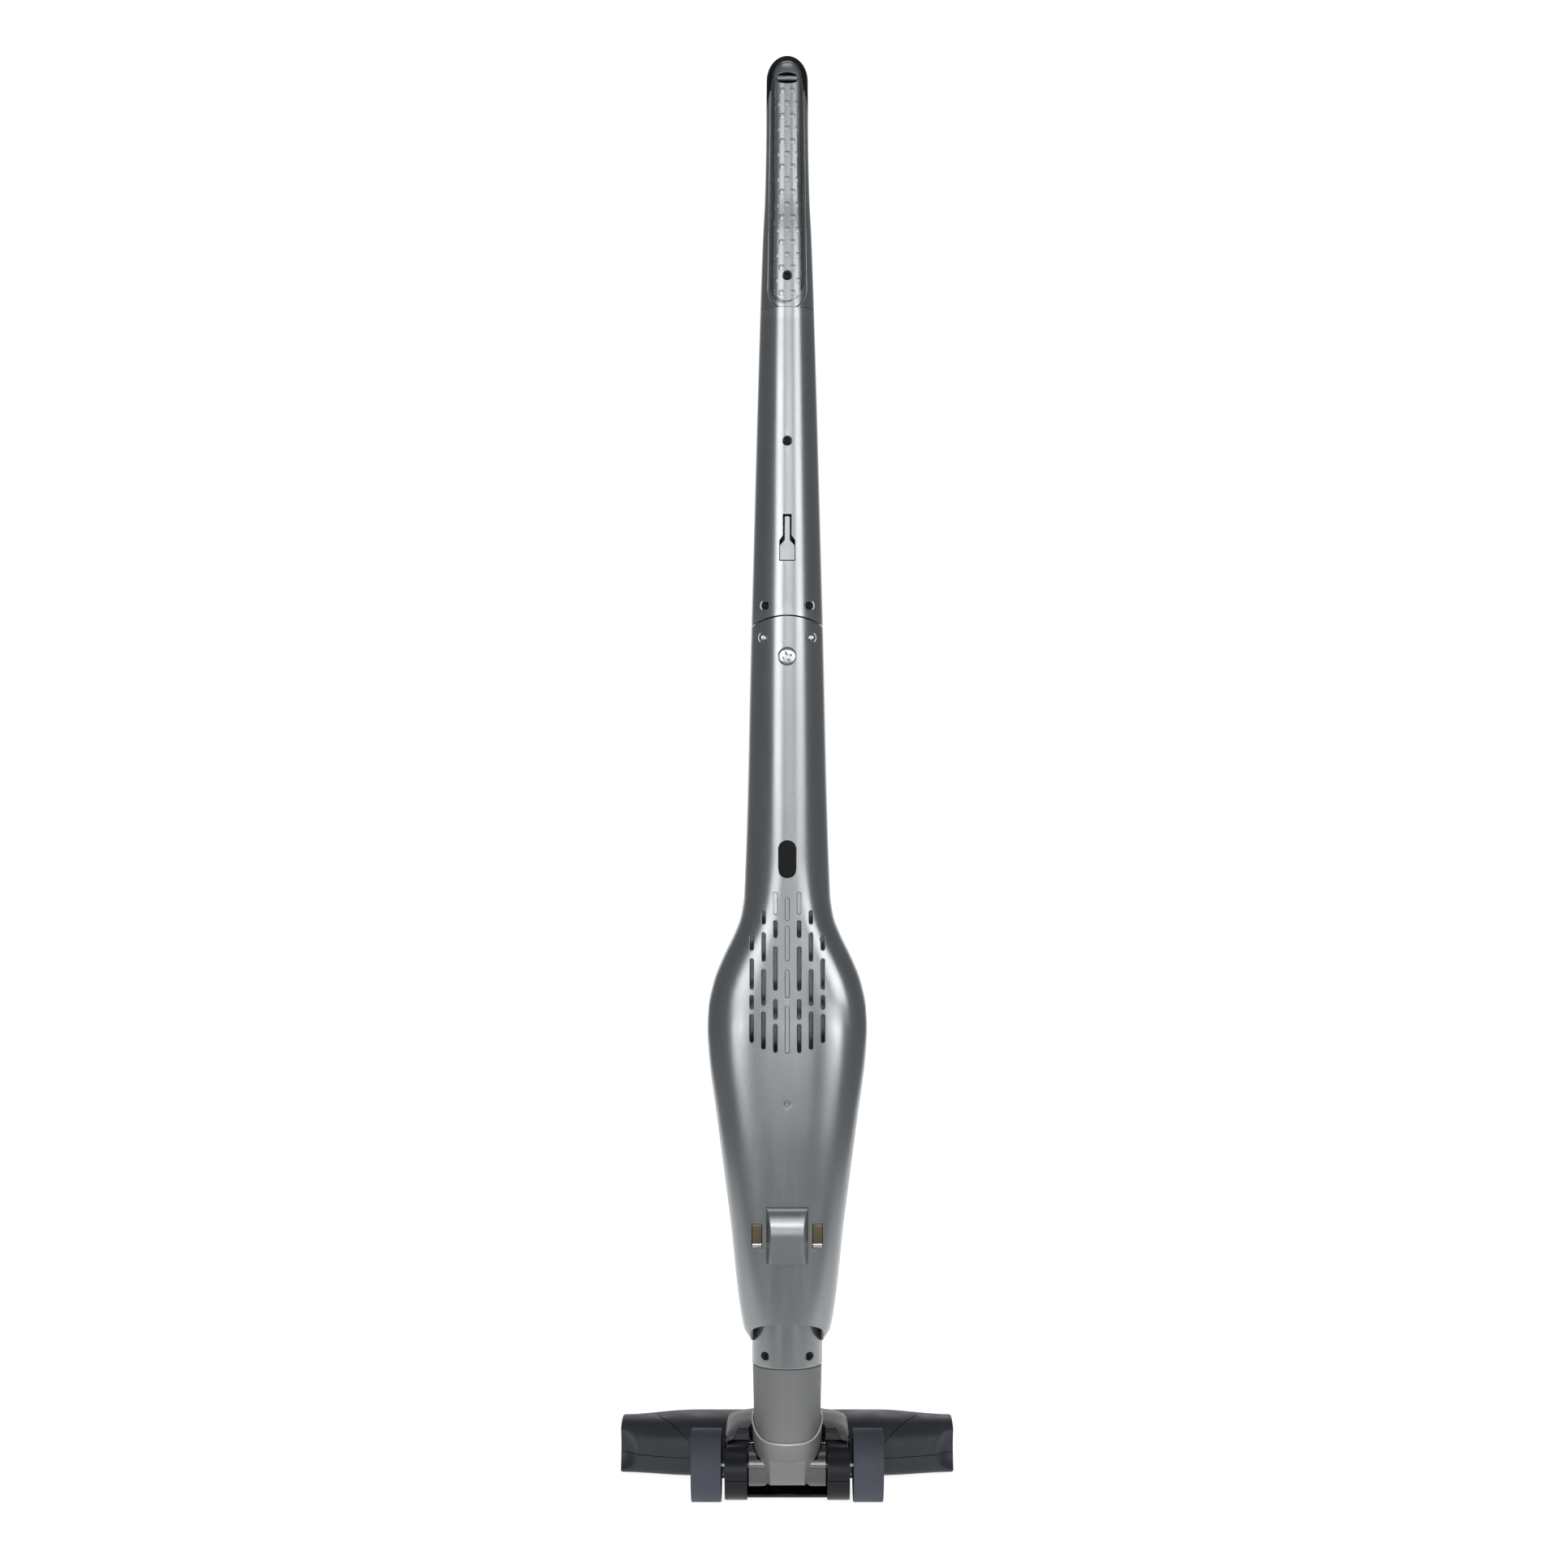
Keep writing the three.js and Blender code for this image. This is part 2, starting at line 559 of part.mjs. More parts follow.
// The shroud is a low dome over the neck joint, open to the rear so that the neck can lie back.
function shroudRing(y, height, halfWidth) {
  const base = EAR_TOP_Z + 0.4;
  return Array.from({ length: 13 }, (_, i) => {
    const angle = (Math.PI * i) / 12;
    const c = Math.cos(angle);
    return [
      halfWidth * Math.sign(c) * Math.abs(c) ** 0.6,
      y,
      base + (height - base) * Math.sin(angle) ** 0.6,
    ];
  });
}

function addShroud() {
  const stations = [
    [-86, 49, 44], [-78, 55.5, 47], [-64, 60.5, 48.3], [-44, 63, 48.6], [-26, 61.5, 48.6],
    [-12, 57.5, 48.6], [-2, 51.5, 48.4],
  ];
  const domeInset = (inset) =>
    loft(stations.map(([y, height, halfWidth]) => shroudRing(y, height - inset, halfWidth - inset)));
  const dome = domeInset(0);
  const core = domeInset(WALL);
  const lowered = core.translate([0, 0, -0.9]);
  const notch = union(
    rod("z", 0, 90, [0, -2], EAR_INNER_X + 0.4, EAR_INNER_X + 0.4, 28),
    block([-EAR_INNER_X - 0.4, -2, 0], [EAR_INNER_X + 0.4, 20, 90]),
  );
  const hollow = lowered.intersect(block([-FAR, -83, 0], [FAR, -6, 90]));
  const cover = cut(dome, hollow, notch);
  const nozzleRoom = nozzle(NOZZLE_HALF_WIDTH, -GAP).intersect(block([-60, -FAR, 0], [60, -74, 90]));
  add("neck_shroud", cut(cover, nozzleRoom), SATIN_GREY);
}
addShroud();

function addWheels() {
  const centre = [0, PIVOT_Z];
  for (const [label, side] of SIDES_OF) {
    const rim = rod("x", WHEEL_INNER_X + 0.8, WHEEL_OUTER_X - 0.8, centre, WHEEL_RADIUS, WHEEL_RADIUS, 28);
    const edges = union(
      rod("x", WHEEL_INNER_X, WHEEL_INNER_X + 0.8, centre, WHEEL_RADIUS - 0.8, WHEEL_RADIUS, 28),
      rod("x", WHEEL_OUTER_X - 0.8, WHEEL_OUTER_X, centre, WHEEL_RADIUS, WHEEL_RADIUS - 0.8, 28),
    );
    const dish = rod("x", WHEEL_OUTER_X - 3, WHEEL_OUTER_X + 1, centre, 20, 21, 24);
    const bore = rod("x", 0, FAR, centre, AXLE_BORE_RADIUS, AXLE_BORE_RADIUS, 16);
    const hub = rod("x", WHEEL_OUTER_X - 3.2, WHEEL_OUTER_X - 1, centre, 7, 7, 16);
    const wheel = cut(union(cut(union(rim, edges), dish), hub), bore);
    add(`wheel_${label}`, onSide(side, wheel), WHEEL_GREY);
    const pin = union(
      rod("x", AXLE_INNER_X, WHEEL_OUTER_X, centre, AXLE_RADIUS, AXLE_RADIUS, 16),
      rod("x", WHEEL_OUTER_X - 0.6, WHEEL_OUTER_X, centre, 4.2, 4.2, 16),
    );
    add(`axle_pin_${label}`, onSide(side, pin), STEEL);
  }
}
addWheels();

// ---- knuckle ------------------------------------------------------------------------------------
function addKnuckle() {
  const centre = [0, PIVOT_Z];
  const bore = rod("x", -FAR, FAR, centre, AXLE_BORE_RADIUS, AXLE_BORE_RADIUS, 16);
  const boreEnds = cut(bore, block([-24.8, -FAR, 0], [24.8, FAR, 90]));
  const port = block([-13, -30, 18.5], [13, 6, 37]);
  const drum = rod("x", -DRUM_HALF_LENGTH, DRUM_HALF_LENGTH, centre, DRUM_RADIUS);
  add("knuckle_drum", cut(drum, boreEnds, port), DRUM_GREY);

  const cup = union(
    rod("z", COLLAR_BOTTOM_Z, COLLAR_WAIST_Z, [0, 0], COLLAR_BOTTOM_RADIUS, COLLAR_WAIST_RADIUS, 24),
    rod("z", COLLAR_WAIST_Z, 76, [0, 0], COLLAR_WAIST_RADIUS, COLLAR_RADIUS + 0.3, 24),
  );
  const rimOutline = [
    [-40, 0], [40, 0],
    [40, COLLAR_RIM_Z - 40 * COLLAR_RIM_SLOPE],
    [-40, COLLAR_RIM_Z + 40 * COLLAR_RIM_SLOPE],
  ];
  const belowRim = prism("x", rimOutline, -FAR, FAR);
  const webRings = [
    [20, 15.5, 17.6], [27, 18, 19.2], [COLLAR_BOTTOM_Z + 1, 21, 20.5],
  ].map(([z, halfWidth, depth]) => [
    [halfWidth, -depth + 6, z], [halfWidth, depth - 5, z], [halfWidth - 5, depth, z],
    [-halfWidth + 5, depth, z], [-halfWidth, depth - 5, z], [-halfWidth, -depth + 6, z],
  ]);
  const web = loft(webRings);
  const foot = NECK_INSERT_RADIUS + GAP;
  const socket = union(
    rod("z", NECK_INSERT_TOP_Z, 90, [0, 0], NECK_RADIUS + GAP, NECK_RADIUS + GAP, 24),
    rod("z", NECK_BOTTOM_Z - GAP, NECK_INSERT_TOP_Z, [0, 0], foot, foot, 24),
  );
  const duct = rod("z", 0, 60, [0, 0], DUCT_RADIUS - 4);
  const drumRoom = rod("x", -FAR, FAR, centre, DRUM_RADIUS + GAP);
  const pieces = cut(union(cup.intersect(belowRim), web), socket, duct, drumRoom);
  add("swivel_collar", largest(pieces), SATIN_GREY);
}

// The biggest body of a solid, which drops slivers left by a cut.
function largest(made) {
  return made.decompose().reduce((best, piece) => (piece.volume() > best.volume() ? piece : best));
}
addKnuckle();

// ---- neck and spigot ----------------------------------------------------------------------------
function addNeck() {
  const tube = union(
    rod("z", NECK_BOTTOM_Z, NECK_INSERT_TOP_Z + GAP, [0, 0], NECK_INSERT_RADIUS, NECK_INSERT_RADIUS, 24),
    rod("z", NECK_INSERT_TOP_Z + GAP, NECK_STRAIGHT_TOP_Z, [0, 0], NECK_RADIUS, NECK_RADIUS, 24),
    rod("z", NECK_STRAIGHT_TOP_Z, NECK_TOP_Z, [0, 0], NECK_RADIUS, NECK_TOP_RADIUS, 24),
  );
  const duct = rod("z", 0, FAR, [0, 0], DUCT_RADIUS);
  add("neck_tube", cut(tube, duct), SATIN_GREY);
  const spigot = rod("z", NECK_TOP_Z + GAP, SPIGOT_TOP_Z, [0, 0], SPIGOT_RADIUS, SPIGOT_RADIUS, 24);
  const recesses = SIDES_OF.map(([, side]) => screwRecess(...NECK_SCREW(side), SPIGOT_RADIUS));
  add("body_spigot", cut(spigot, duct, ...recesses), SILVER);
}

// ---- screws: each is a head and shank driven forwards in a counterbored recess ------------------
const SCREW_HEAD_DEPTH = 2;
const SCREW_SHANK_LENGTH = 11;

// Where a screw's recess opens: x, z, recess radius.
const NECK_SCREW = (side) => [side * 17, 117.2, 3];
const BODY_SCREW = (side) => [side * 18, 670.3, 3];
const HANDLE_SCREW = (side) => [side * 16.5, 694.9, 3];
const MID_SCREW = [0, 821.5, 3.5];
const GRIP_SCREW = [0, 949.4, 3.5];
const LOCK_BOLT = [0, 655.5, 6.8];

function roundSurfaceY(x, radius) {
  return Math.sqrt(radius ** 2 - x ** 2);
}

function seatY(x, z, round) {
  return (round ? roundSurfaceY(x, round) : rearSurfaceY(x, z)) - 3.6;
}

// The recess and shank hole for a screw, on the stick's own surface or on a round one.
function screwRecess(x, z, radius, round = 0) {
  const y = seatY(x, z, round);
  return union(
    rod("y", y, 60, [x, z], radius, radius, 12),
    rod("y", y - SCREW_SHANK_LENGTH - 1, y + 1, [x, z], 2, 2, 8),
  );
}

function addScrew(name, [x, z, radius], material, round = 0) {
  const y = seatY(x, z, round) + GAP;
  const head = radius - 0.35;
  const screw = union(
    rod("y", y, y + SCREW_HEAD_DEPTH, [x, z], head, head * 0.85, 12),
    rod("y", y - SCREW_SHANK_LENGTH, y + 0.5, [x, z], 1.5, 1.5, 8),
  );
  add(name, screw, material);
}

// A boss behind the rear wall that carries a screw.
function boss([x, z, radius], depth = 12) {
  const y = seatY(x, z, 0);
  return rod("y", y - depth, y + 2.4, [x, z], radius + 1.6, radius + 1.6, 12);
}

// ---- body shells --------------------------------------------------------------------------------
const VENT_PITCH = 9.1;
const VENT_HALF_WIDTH = 1.5;
// Slots by column away from the centre line, each [low, high].
const OPEN_VENTS = {
  1: [[440, 453], [399.7, 433], [378, 393], [352.4, 374]],
  2: [[450.3, 460.5], [422, 443.6], [388.5, 415.7], [355, 383.5]],
  3: [[430.2, 441], [400.7, 423.7], [385.5, 396], [360, 381.5]],
};

function ventCutters() {
  return SIDES_OF.flatMap(([, side]) =>
    Object.entries(OPEN_VENTS).flatMap(([column, spans]) =>
      spans.map(([low, high]) => {
        const x = side * VENT_PITCH * column;
        return block([x - VENT_HALF_WIDTH, 10, low], [x + VENT_HALF_WIDTH, 60, high]);
      }),
    ),
  );
}

function addBodyRear() {
  const levels = levelsBetween(BODY_LEVELS, 126.6, 690);
  const outer = stick(levels);
  const inner = hollow(levelsBetween(INNER_LEVELS, 158, 695));
  const spigotRoom = rod("z", 0, SPIGOT_TOP_Z + GAP, [0, 0], SPIGOT_RADIUS + GAP, SPIGOT_RADIUS + GAP, 24);
  const archSpan = SPIGOT_RADIUS + GAP;
  const archOutline = [[archSpan, 100], ...arc(0, 135.5, archSpan, 8.5, 0, 180, 10), [-archSpan, 100]];
  const arch = prism("y", archOutline, 8, 60);
  const screws = [BODY_SCREW(1), BODY_SCREW(-1), LOCK_BOLT];
  const bosses = screws.map((screw) => boss(screw, 5).intersect(outer));
  const contactWays = SIDES_OF.map(([, side]) => contactBlock(side, GAP));
  const plugWay = prism("y", slot(0, 485.7, 514.1, 6.7), 10, 60);
  const shell = cut(outer.intersect(REAR_HALF), inner, spigotRoom, arch);
  const walled = union(shell, ...bosses);
  const plugRoom = rod("z", 628, 720, [0, 0], SPLINT_RADIUS + GAP);
  const drilled = cut(
    walled, ABOVE_BODY_TOP, plugRoom, ...screws.map((screw) => screwRecess(...screw)), ...ventCutters(),
    ...contactWays, plugWay, hookFeet(GAP),
  );
  add("body_rear_shell", largest(drilled), SILVER);
}

// The splint is the round plug that the handle carries down into the body.
const SPLINT_RADIUS = 17;
const SPLINT_BOTTOM_Z = 632;
const SPLINT_TOP_Z = 712;

function contactBlock(side, gap) {
  const x = side * 23.2;
  const half = 3.8 + gap;
  const y = rearSurfaceY(x, 211) - 2.2;
  return block([x - half, y - 8 - gap, 202.6 - gap], [x + half, y + 8, 220.5 + gap]);
}

function addContacts() {
  for (const [label, side] of SIDES_OF) {
    const x = side * 23.2;
    const y = rearSurfaceY(x, 211) - 2.2;
    const plate = union(
      block([x - 3.8, y - 1, 202.6], [x + 3.8, y, 220.5]),
      block([x - 1.5, y - 7.5, 210], [x + 1.5, y - 0.5, 213]),
      block([x - 3.8, y - 0.5, 202.6], [x + 3.8, y + 1.6, 204]),
    );
    add(`charge_contact_${label}`, plate, BRONZE);
  }
}

// Two feet of the wall hook pass through the rear shell.
function hookFeet(gap) {
  const feet = [12, -12].map((x) =>
    block([x - 1.8 - gap, 26, 226 - gap], [x + 1.8 + gap, 60, 233 + gap]),
  );
  return union(...feet);
}

function addHook() {
  const outline = [
    [34, HOOK_TOP_Z - 1],
    ...arc(HOOK_FACE_Y - 9, HOOK_TOP_Z - 16, 9, 15, 90, 0, 5),
    [HOOK_FACE_Y, HOOK_BOTTOM_Z],
    [34, HOOK_BOTTOM_Z],
  ];
  const full = prism("x", outline, -HOOK_HALF_WIDTH, HOOK_HALF_WIDTH);
  const taper = prism("z", [[-HOOK_HALF_WIDTH, 30], [HOOK_HALF_WIDTH, 30], [13, 44], [-13, 44]], 0, FAR);
  const cavity = block([-11, 0, HOOK_BOTTOM_Z - 5], [11, HOOK_FACE_Y - HOOK_WALL, HOOK_TOP_Z - 8]);
  const shellRoom = stick([180, 200, 221, 240, 260], -GAP);
  const hook = cut(full.intersect(taper), cavity, shellRoom);
  const feet = hookFeet(0).intersect(block([-FAR, 28, 0], [FAR, 37.5, FAR]));
  add("wall_hook", union(hook, feet), SILVER);
}

function addBodyFront() {
  const frontLevels = [...new Set([...BODY_LEVELS, ...DOCK_FOOT_LEVELS])].sort((a, b) => a - b);
  const outer = stick(levelsBetween(frontLevels, 126.6, 690)).intersect(FRONT_HALF);
  const lowerHollow = hollow(levelsBetween(INNER_LEVELS, 162, 482));
  const behindDock = lowerHollow.intersect(block([-FAR, DOCK_WALL_Y + WALL, 0], [FAR, FAR, FAR * 3]));
  const upperHollow = hollow([490, 695]);
  const pocket = dockPocket();
  const aboveDock = block([-FAR, -FAR, DOCK_BOTTOM_Z + 62], [FAR, DOCK_WALL_Y, DOCK_TOP_Z]);
  const duct = union(
    rod("z", 0, SPIGOT_TOP_Z + GAP, [0, 0], SPIGOT_RADIUS + GAP, SPIGOT_RADIUS + GAP, 24),
    block([-9, -36, 146], [9, -4, 164]),
  );
  const buttonWay = rod("y", -60, -20, [0, RELEASE_BUTTON_Z], RELEASE_BUTTON_RADIUS + GAP);
  const plugRoom = rod("z", 628, 720, [0, 0], SPLINT_RADIUS + GAP);
  const shanks = [BODY_SCREW(1), BODY_SCREW(-1), LOCK_BOLT].map((screw) => screwRecess(...screw));
  const shell = cut(
    outer, behindDock, upperHollow, pocket, aboveDock, duct, buttonWay, plugRoom, ABOVE_BODY_TOP, ...shanks,
  );
  add("body_front_frame", largest(shell), SILVER);
}

// ---- hand unit: the form that both its case and the dock's pocket follow ------------------------
const HAND_UNIT = [
  // height, half-width, front
  [160, 20, -42], [180, 25, -53], [210, 31, -64], [250, 38, -75], [300, 43, -83], [350, 45, -86],
  [385, 43, -83], [400, 36, -74], [406, 26, -62],
];
const HAND_BACK_Y = -14.8;

function handUnitForm(grow, low = 160, high = 406) {
  const stations = HAND_UNIT.filter(([z]) => z >= low && z <= high);
  const rings = stations.map(([z, halfWidth, front]) => {
    const centre = (HAND_BACK_Y + front) / 2;
    const depth = (HAND_BACK_Y - front) / 2 + grow;
    return levelRing(z, halfWidth + grow, depth, depth, 2.6, 20, centre);
  });
  if (grow <= 0) return loft(rings);
  const extend = (ring, z) => ring.map(([x, y]) => [x, y, z]);
  return loft([extend(rings[0], low - grow), ...rings, extend(rings.at(-1), high + grow)]);
}

// The dock's pocket runs straight forwards, so that the hand unit can leave it.
function dockPocket() {
  const clearance = 1;
  const rightEdge = HAND_UNIT.map(([z, halfWidth]) => [halfWidth + clearance, z]);
  const leftEdge = [...rightEdge].reverse().map(([x, z]) => [-x, z]);
  const floor = rightEdge[0][0];
  const outline = [[-floor, DOCK_BOTTOM_Z], [floor, DOCK_BOTTOM_Z], ...rightEdge, ...leftEdge];
  return prism("y", outline, -FAR, DOCK_WALL_Y);
}

const RELEASE_BUTTON_Z = 512;
const RELEASE_BUTTON_RADIUS = 7;

function addReleaseButton() {
  const face = -through(FRONT_DEPTH, RELEASE_BUTTON_Z) - 2.6;
  const button = union(
    rod("y", face, face + 8, [0, RELEASE_BUTTON_Z], RELEASE_BUTTON_RADIUS),
    rod("y", face + 8, face + 16, [0, RELEASE_BUTTON_Z], 3, 3, 12),
  );
  add("release_button", button, BLACK);
}

addNeck();
addBodyRear();
addContacts();
addHook();
addBodyFront();
addReleaseButton();

// ---- handle -------------------------------------------------------------------------------------
const GRIP_FRONT_REACH_Z = 1059; // above this the black grip front wraps round to the rear edge
const INLAY_LOW_Z = 923.6;
const INLAY_HIGH_Z = 1118;
const INLAY_BOTTOM_HALF_WIDTH = 14.9;
const INLAY_TOP_HALF_WIDTH = 12.6;
const INLAY_DEPTH = 1.6;
const HANG_Z = 1103;
const HANG_HALF_WIDTH = 7.9;
const HANG_HALF_HEIGHT = 4.1;
const CLIP_NARROW_HALF = 3.2;
const CLIP_WIDE_HALF = 5.65;

const SPLINT = rod("z", SPLINT_BOTTOM_Z, SPLINT_TOP_Z, [0, 0], SPLINT_RADIUS);
const SPLINT_BORE = rod("z", 0, SPLINT_TOP_Z + 1, [0, 0], SPLINT_RADIUS - 3.5);
const UPPER_LEVELS = [...HANDLE_LEVELS, ...TIP_LEVELS.slice(0, -1)];

// The inlay's outline: a tall slot that narrows upwards.
function inlayOutline(gap) {
  const low = INLAY_BOTTOM_HALF_WIDTH + gap;
  const high = INLAY_TOP_HALF_WIDTH + gap;
  return [
    ...arc(0, INLAY_HIGH_Z - 10, high, 10 + gap, 0, 180, 8),
    ...arc(0, INLAY_LOW_Z + INLAY_BOTTOM_HALF_WIDTH, low, low, 180, 360, 8),
  ];
}

function hangOutline(gap) {
  const half = HANG_HALF_WIDTH + gap;
  const rise = HANG_HALF_HEIGHT + gap;
  return [
    ...arc(0, HANG_Z + 1, half, rise - 1, 0, 180, 6),
    ...arc(0, HANG_Z - 1, half, rise - 1, 180, 360, 6),
  ];
}

// The clip's keyhole outline: a narrow tongue above a wider plate.
function clipOutline(narrow, wide, bottomZ, shoulderZ, topZ) {
  return [
    [-wide, bottomZ], [wide, bottomZ], [wide, shoulderZ], [narrow, shoulderZ + 4], [narrow, topZ],
    [-narrow, topZ], [-narrow, shoulderZ + 4], [-wide, shoulderZ],
  ];
}

function addHandleTube() {
  const levels = levelsBetween(HANDLE_LEVELS, 640, GRIP_SEAM_Z);
  const outer = stick(levels).intersect(ABOVE_BODY_JOINT);
  const inner = hollow([640, 920]);
  const splintRoom = rod("z", 0, SPLINT_TOP_Z + GAP, [0, 0], SPLINT_RADIUS + GAP);
  const screws = [HANDLE_SCREW(1), HANDLE_SCREW(-1), MID_SCREW];
  const recesses = screws.map((screw) => screwRecess(...screw));
  const bosses = screws.map((screw) => boss(screw, 5).intersect(outer));
  const keyholeOutline = clipOutline(CLIP_NARROW_HALF, CLIP_WIDE_HALF + GAP, 729.2, 744.7, 764.8);
  const keyhole = prism("y", keyholeOutline, 15, 60);
  const rear = union(cut(outer.intersect(REAR_HALF), inner), ...bosses);
  add("handle_rear_shell", largest(cut(rear, splintRoom, ...recesses, keyhole)), SILVER);
  const frontShell = cut(outer.intersect(FRONT_HALF), inner);
  const web = cut(outer.intersect(FRONT_HALF), block([-FAR, -FAR, SPLINT_TOP_Z], [FAR, FAR, 1300]));
  const front = cut(union(frontShell, web, SPLINT), SPLINT_BORE);
  add("handle_front_shell", largest(cut(front, screwRecess(...LOCK_BOLT), ...recesses)), SILVER);
}

function addClip() {
  const outline = clipOutline(1.9, CLIP_WIDE_HALF, 729.5, 741, 763.4);
  const surface = stick([720, 780]);
  const skin = cut(surface, stick([715, 785], 2.2));
  add("accessory_clip", largest(prism("y", outline, 15, 60).intersect(skin)), SILVER);
}

function addGrip() {
  const inlayWay = prism("y", inlayOutline(GAP / 2), 4, 60);
  const surface = stick([...levelsBetween(UPPER_LEVELS, GRIP_SEAM_Z + GAP, 1120), 1121.5]);
  const behindInlay = stick(levelsBetween(HANDLE_LEVELS, 915, 1108), INLAY_DEPTH);
  const inner = hollow([915, 983, 1050, 1090], WALL + 1.5);
  const gripScrew = screwRecess(...GRIP_SCREW);
  const hangWay = prism("y", hangOutline(0), 4, 60);

  // The black front wraps the tip: everything ahead of a line that runs back to the rear near the top.
  const splitOutline = [
    [-60, 900], [PARTING_Y - GAP / 2, 900], [PARTING_Y - GAP / 2, 1030], [4, GRIP_FRONT_REACH_Z + 25],
    [11, 1100], [11, 1200], [-60, 1200],
  ];
  const frontZone = prism("x", splitOutline, -60, 60);
  const rearZone = prism("x", splitOutline.map(([y, z]) => [y + GAP, z]), -60, 60);
  const seat = cut(inlayWay, behindInlay);
  const rearSolid = cut(surface, rearZone, inner, seat, gripScrew);
  const boss1 = boss(GRIP_SCREW, 5).intersect(stick([930, 970], 1));
  const rear = cut(union(rearSolid, cut(boss1, rearZone)), gripScrew, seat, hangWay);
  add("grip_rear_shell", largest(rear), SILVER);

  const inlay = cut(
    prism("y", inlayOutline(-GAP / 2), 4, 60).intersect(surface),
    stick(levelsBetween(HANDLE_LEVELS, 915, 1108), INLAY_DEPTH - GAP),
    gripScrew,
    hangWay,
    frontZone.translate([0, GAP, 0]),
  );
  add("grip_inlay", largest(inlay), SILVER);

  const tip = stick([...levelsBetween(UPPER_LEVELS, GRIP_SEAM_Z + GAP, 1122.4), HANDLE_TOP_Z]);
  const sliderWay = block(
    [-5.3, -60, SLIDER_LOW_Z - SLIDER_TRAVEL - 1], [5.3, -8, SLIDER_HIGH_Z + SLIDER_TRAVEL + 1],
  );
  const grip = cut(tip.intersect(frontZone), inner, sliderWay, gripScrew);
  add("grip_front", largest(grip), BLACK);

  const bar = rod("x", -HANG_HALF_WIDTH + GAP, HANG_HALF_WIDTH - GAP, [12.9, HANG_Z], 1.5, 1.5, 12);
  add("hang_bar", bar, STEEL);
}

const SLIDER_LOW_Z = 1002;
const SLIDER_HIGH_Z = 1026;
const SLIDER_TRAVEL = 8;

function addSlider() {
  const face = -through(FRONT_DEPTH, SLIDER_HIGH_Z) - 2.4;
  const thumb = block([-5, face, SLIDER_LOW_Z], [5, face + 9, SLIDER_HIGH_Z]);
  const ridges = [4, 8, 12, 16, 20].map((rise) =>
    block([-5, face - 0.8, SLIDER_LOW_Z + rise - 1], [5, face + 0.5, SLIDER_LOW_Z + rise + 1]),
  );
  add("power_slider", union(thumb, ...ridges), SATIN_GREY);
}

addHandleTube();
addClip();
addGrip();
addSlider();

// Black plug in the oval opening near the top of the body.
function addWindowPlug() {
  const outline = slot(0, 486, 513.8, 6.4);
  const skin = cut(stick([470, 500, 530]), stick([465, 500, 535], 4));
  add("oval_plug", largest(prism("y", outline, 12, 60).intersect(skin)), GLOSS_BLACK);
}
addWindowPlug();

for (const [label, side] of SIDES_OF) {
  addScrew(`neck_screw_${label}`, NECK_SCREW(side), BLACK, SPIGOT_RADIUS);
  addScrew(`body_screw_${label}`, BODY_SCREW(side), STEEL);
  addScrew(`handle_screw_${label}`, HANDLE_SCREW(side), BLACK);
}
addScrew("handle_mid_screw", MID_SCREW, BLACK);
addScrew("grip_screw", GRIP_SCREW, BLACK);
addScrew("lock_bolt", LOCK_BOLT, STEEL);

// ---- hand unit and dust cup ---------------------------------------------------------------------
const HAND_AXIS_Y = -48;
const CUP_BUTTON_Z = 312;

function addHandUnit() {
  const whole = handUnitForm(0).intersect(block([-FAR, -FAR, CUP_TOP_Z + GAP], [FAR, FAR, FAR * 2]));
  const hollow = handUnitForm(-WALL).intersect(block([-FAR, -FAR, 296], [FAR, FAR, 397]));
  const inlet = rod("z", 280, 300, [0, HAND_AXIS_Y], 26);
  const buttonWay = rod("y", -FAR, -60, [0, CUP_BUTTON_Z], 5.3, 5.3, 16);
  add("hand_unit_case", cut(whole, hollow, inlet, buttonWay), SATIN_GREY);

  const loop = [
    [-70, 406.4], [-74, 425], [-72, 448], ...arc(-52, 452, 20, 20, 170, 90, 4),
    ...arc(-34, 456, 16, 16, 80, 0, 4), [-17, 430], [-17, 406.4],
  ];
  const fingerGap = [
    [-58, 412], [-58, 446], ...arc(-48, 450, 10, 10, 170, 90, 3), ...arc(-35, 450, 9, 9, 80, 0, 3),
    [-25, 430], [-25, 412],
  ];
  add("hand_unit_grip", cut(prism("x", loop, -12, 12), prism("x", fingerGap, -14, 14)), BLACK);

  const motor = union(
    rod("z", 312, 352, [0, HAND_AXIS_Y], 20),
    rod("z", 352, 355, [0, HAND_AXIS_Y], 7, 7, 16),
  );
  add("suction_motor", cut(motor, rod("z", 300, 330, [0, HAND_AXIS_Y], 3, 3, 12)), STEEL);
  add("battery_pack", prism("x", batteryOutline(), -32, 32), BATTERY_BLUE);
}

// Four round cells, two by two, under one wrap.
function batteryOutline() {
  const r = 8.6;
  return [
    ...arc(HAND_AXIS_Y + r, 376 + r, r, r, 0, 90, 4), ...arc(HAND_AXIS_Y - r, 376 + r, r, r, 90, 180, 4),
    ...arc(HAND_AXIS_Y - r, 376 - r, r, r, 180, 270, 4), ...arc(HAND_AXIS_Y + r, 376 - r, r, r, 270, 360, 4),
  ];
}

function addFan() {
  const disc = union(
    rod("z", 299, 300.5, [0, HAND_AXIS_Y], 25),
    rod("z", 299, 308, [0, HAND_AXIS_Y], 6, 6, 16),
    rod("z", 307, 325, [0, HAND_AXIS_Y], 2.5, 2.5, 12),
  );
  const blades = Array.from({ length: 7 }, (_, i) => {
    const blade = new THREE.BoxGeometry(18, 1.4, 7).translate(14.5, 0, 303.6);
    blade.rotateZ((2 * Math.PI * i) / 7).translate(0, HAND_AXIS_Y, 0);
    return solid(blade);
  });
  add("fan_impeller", union(disc, ...blades), BLACK);
}

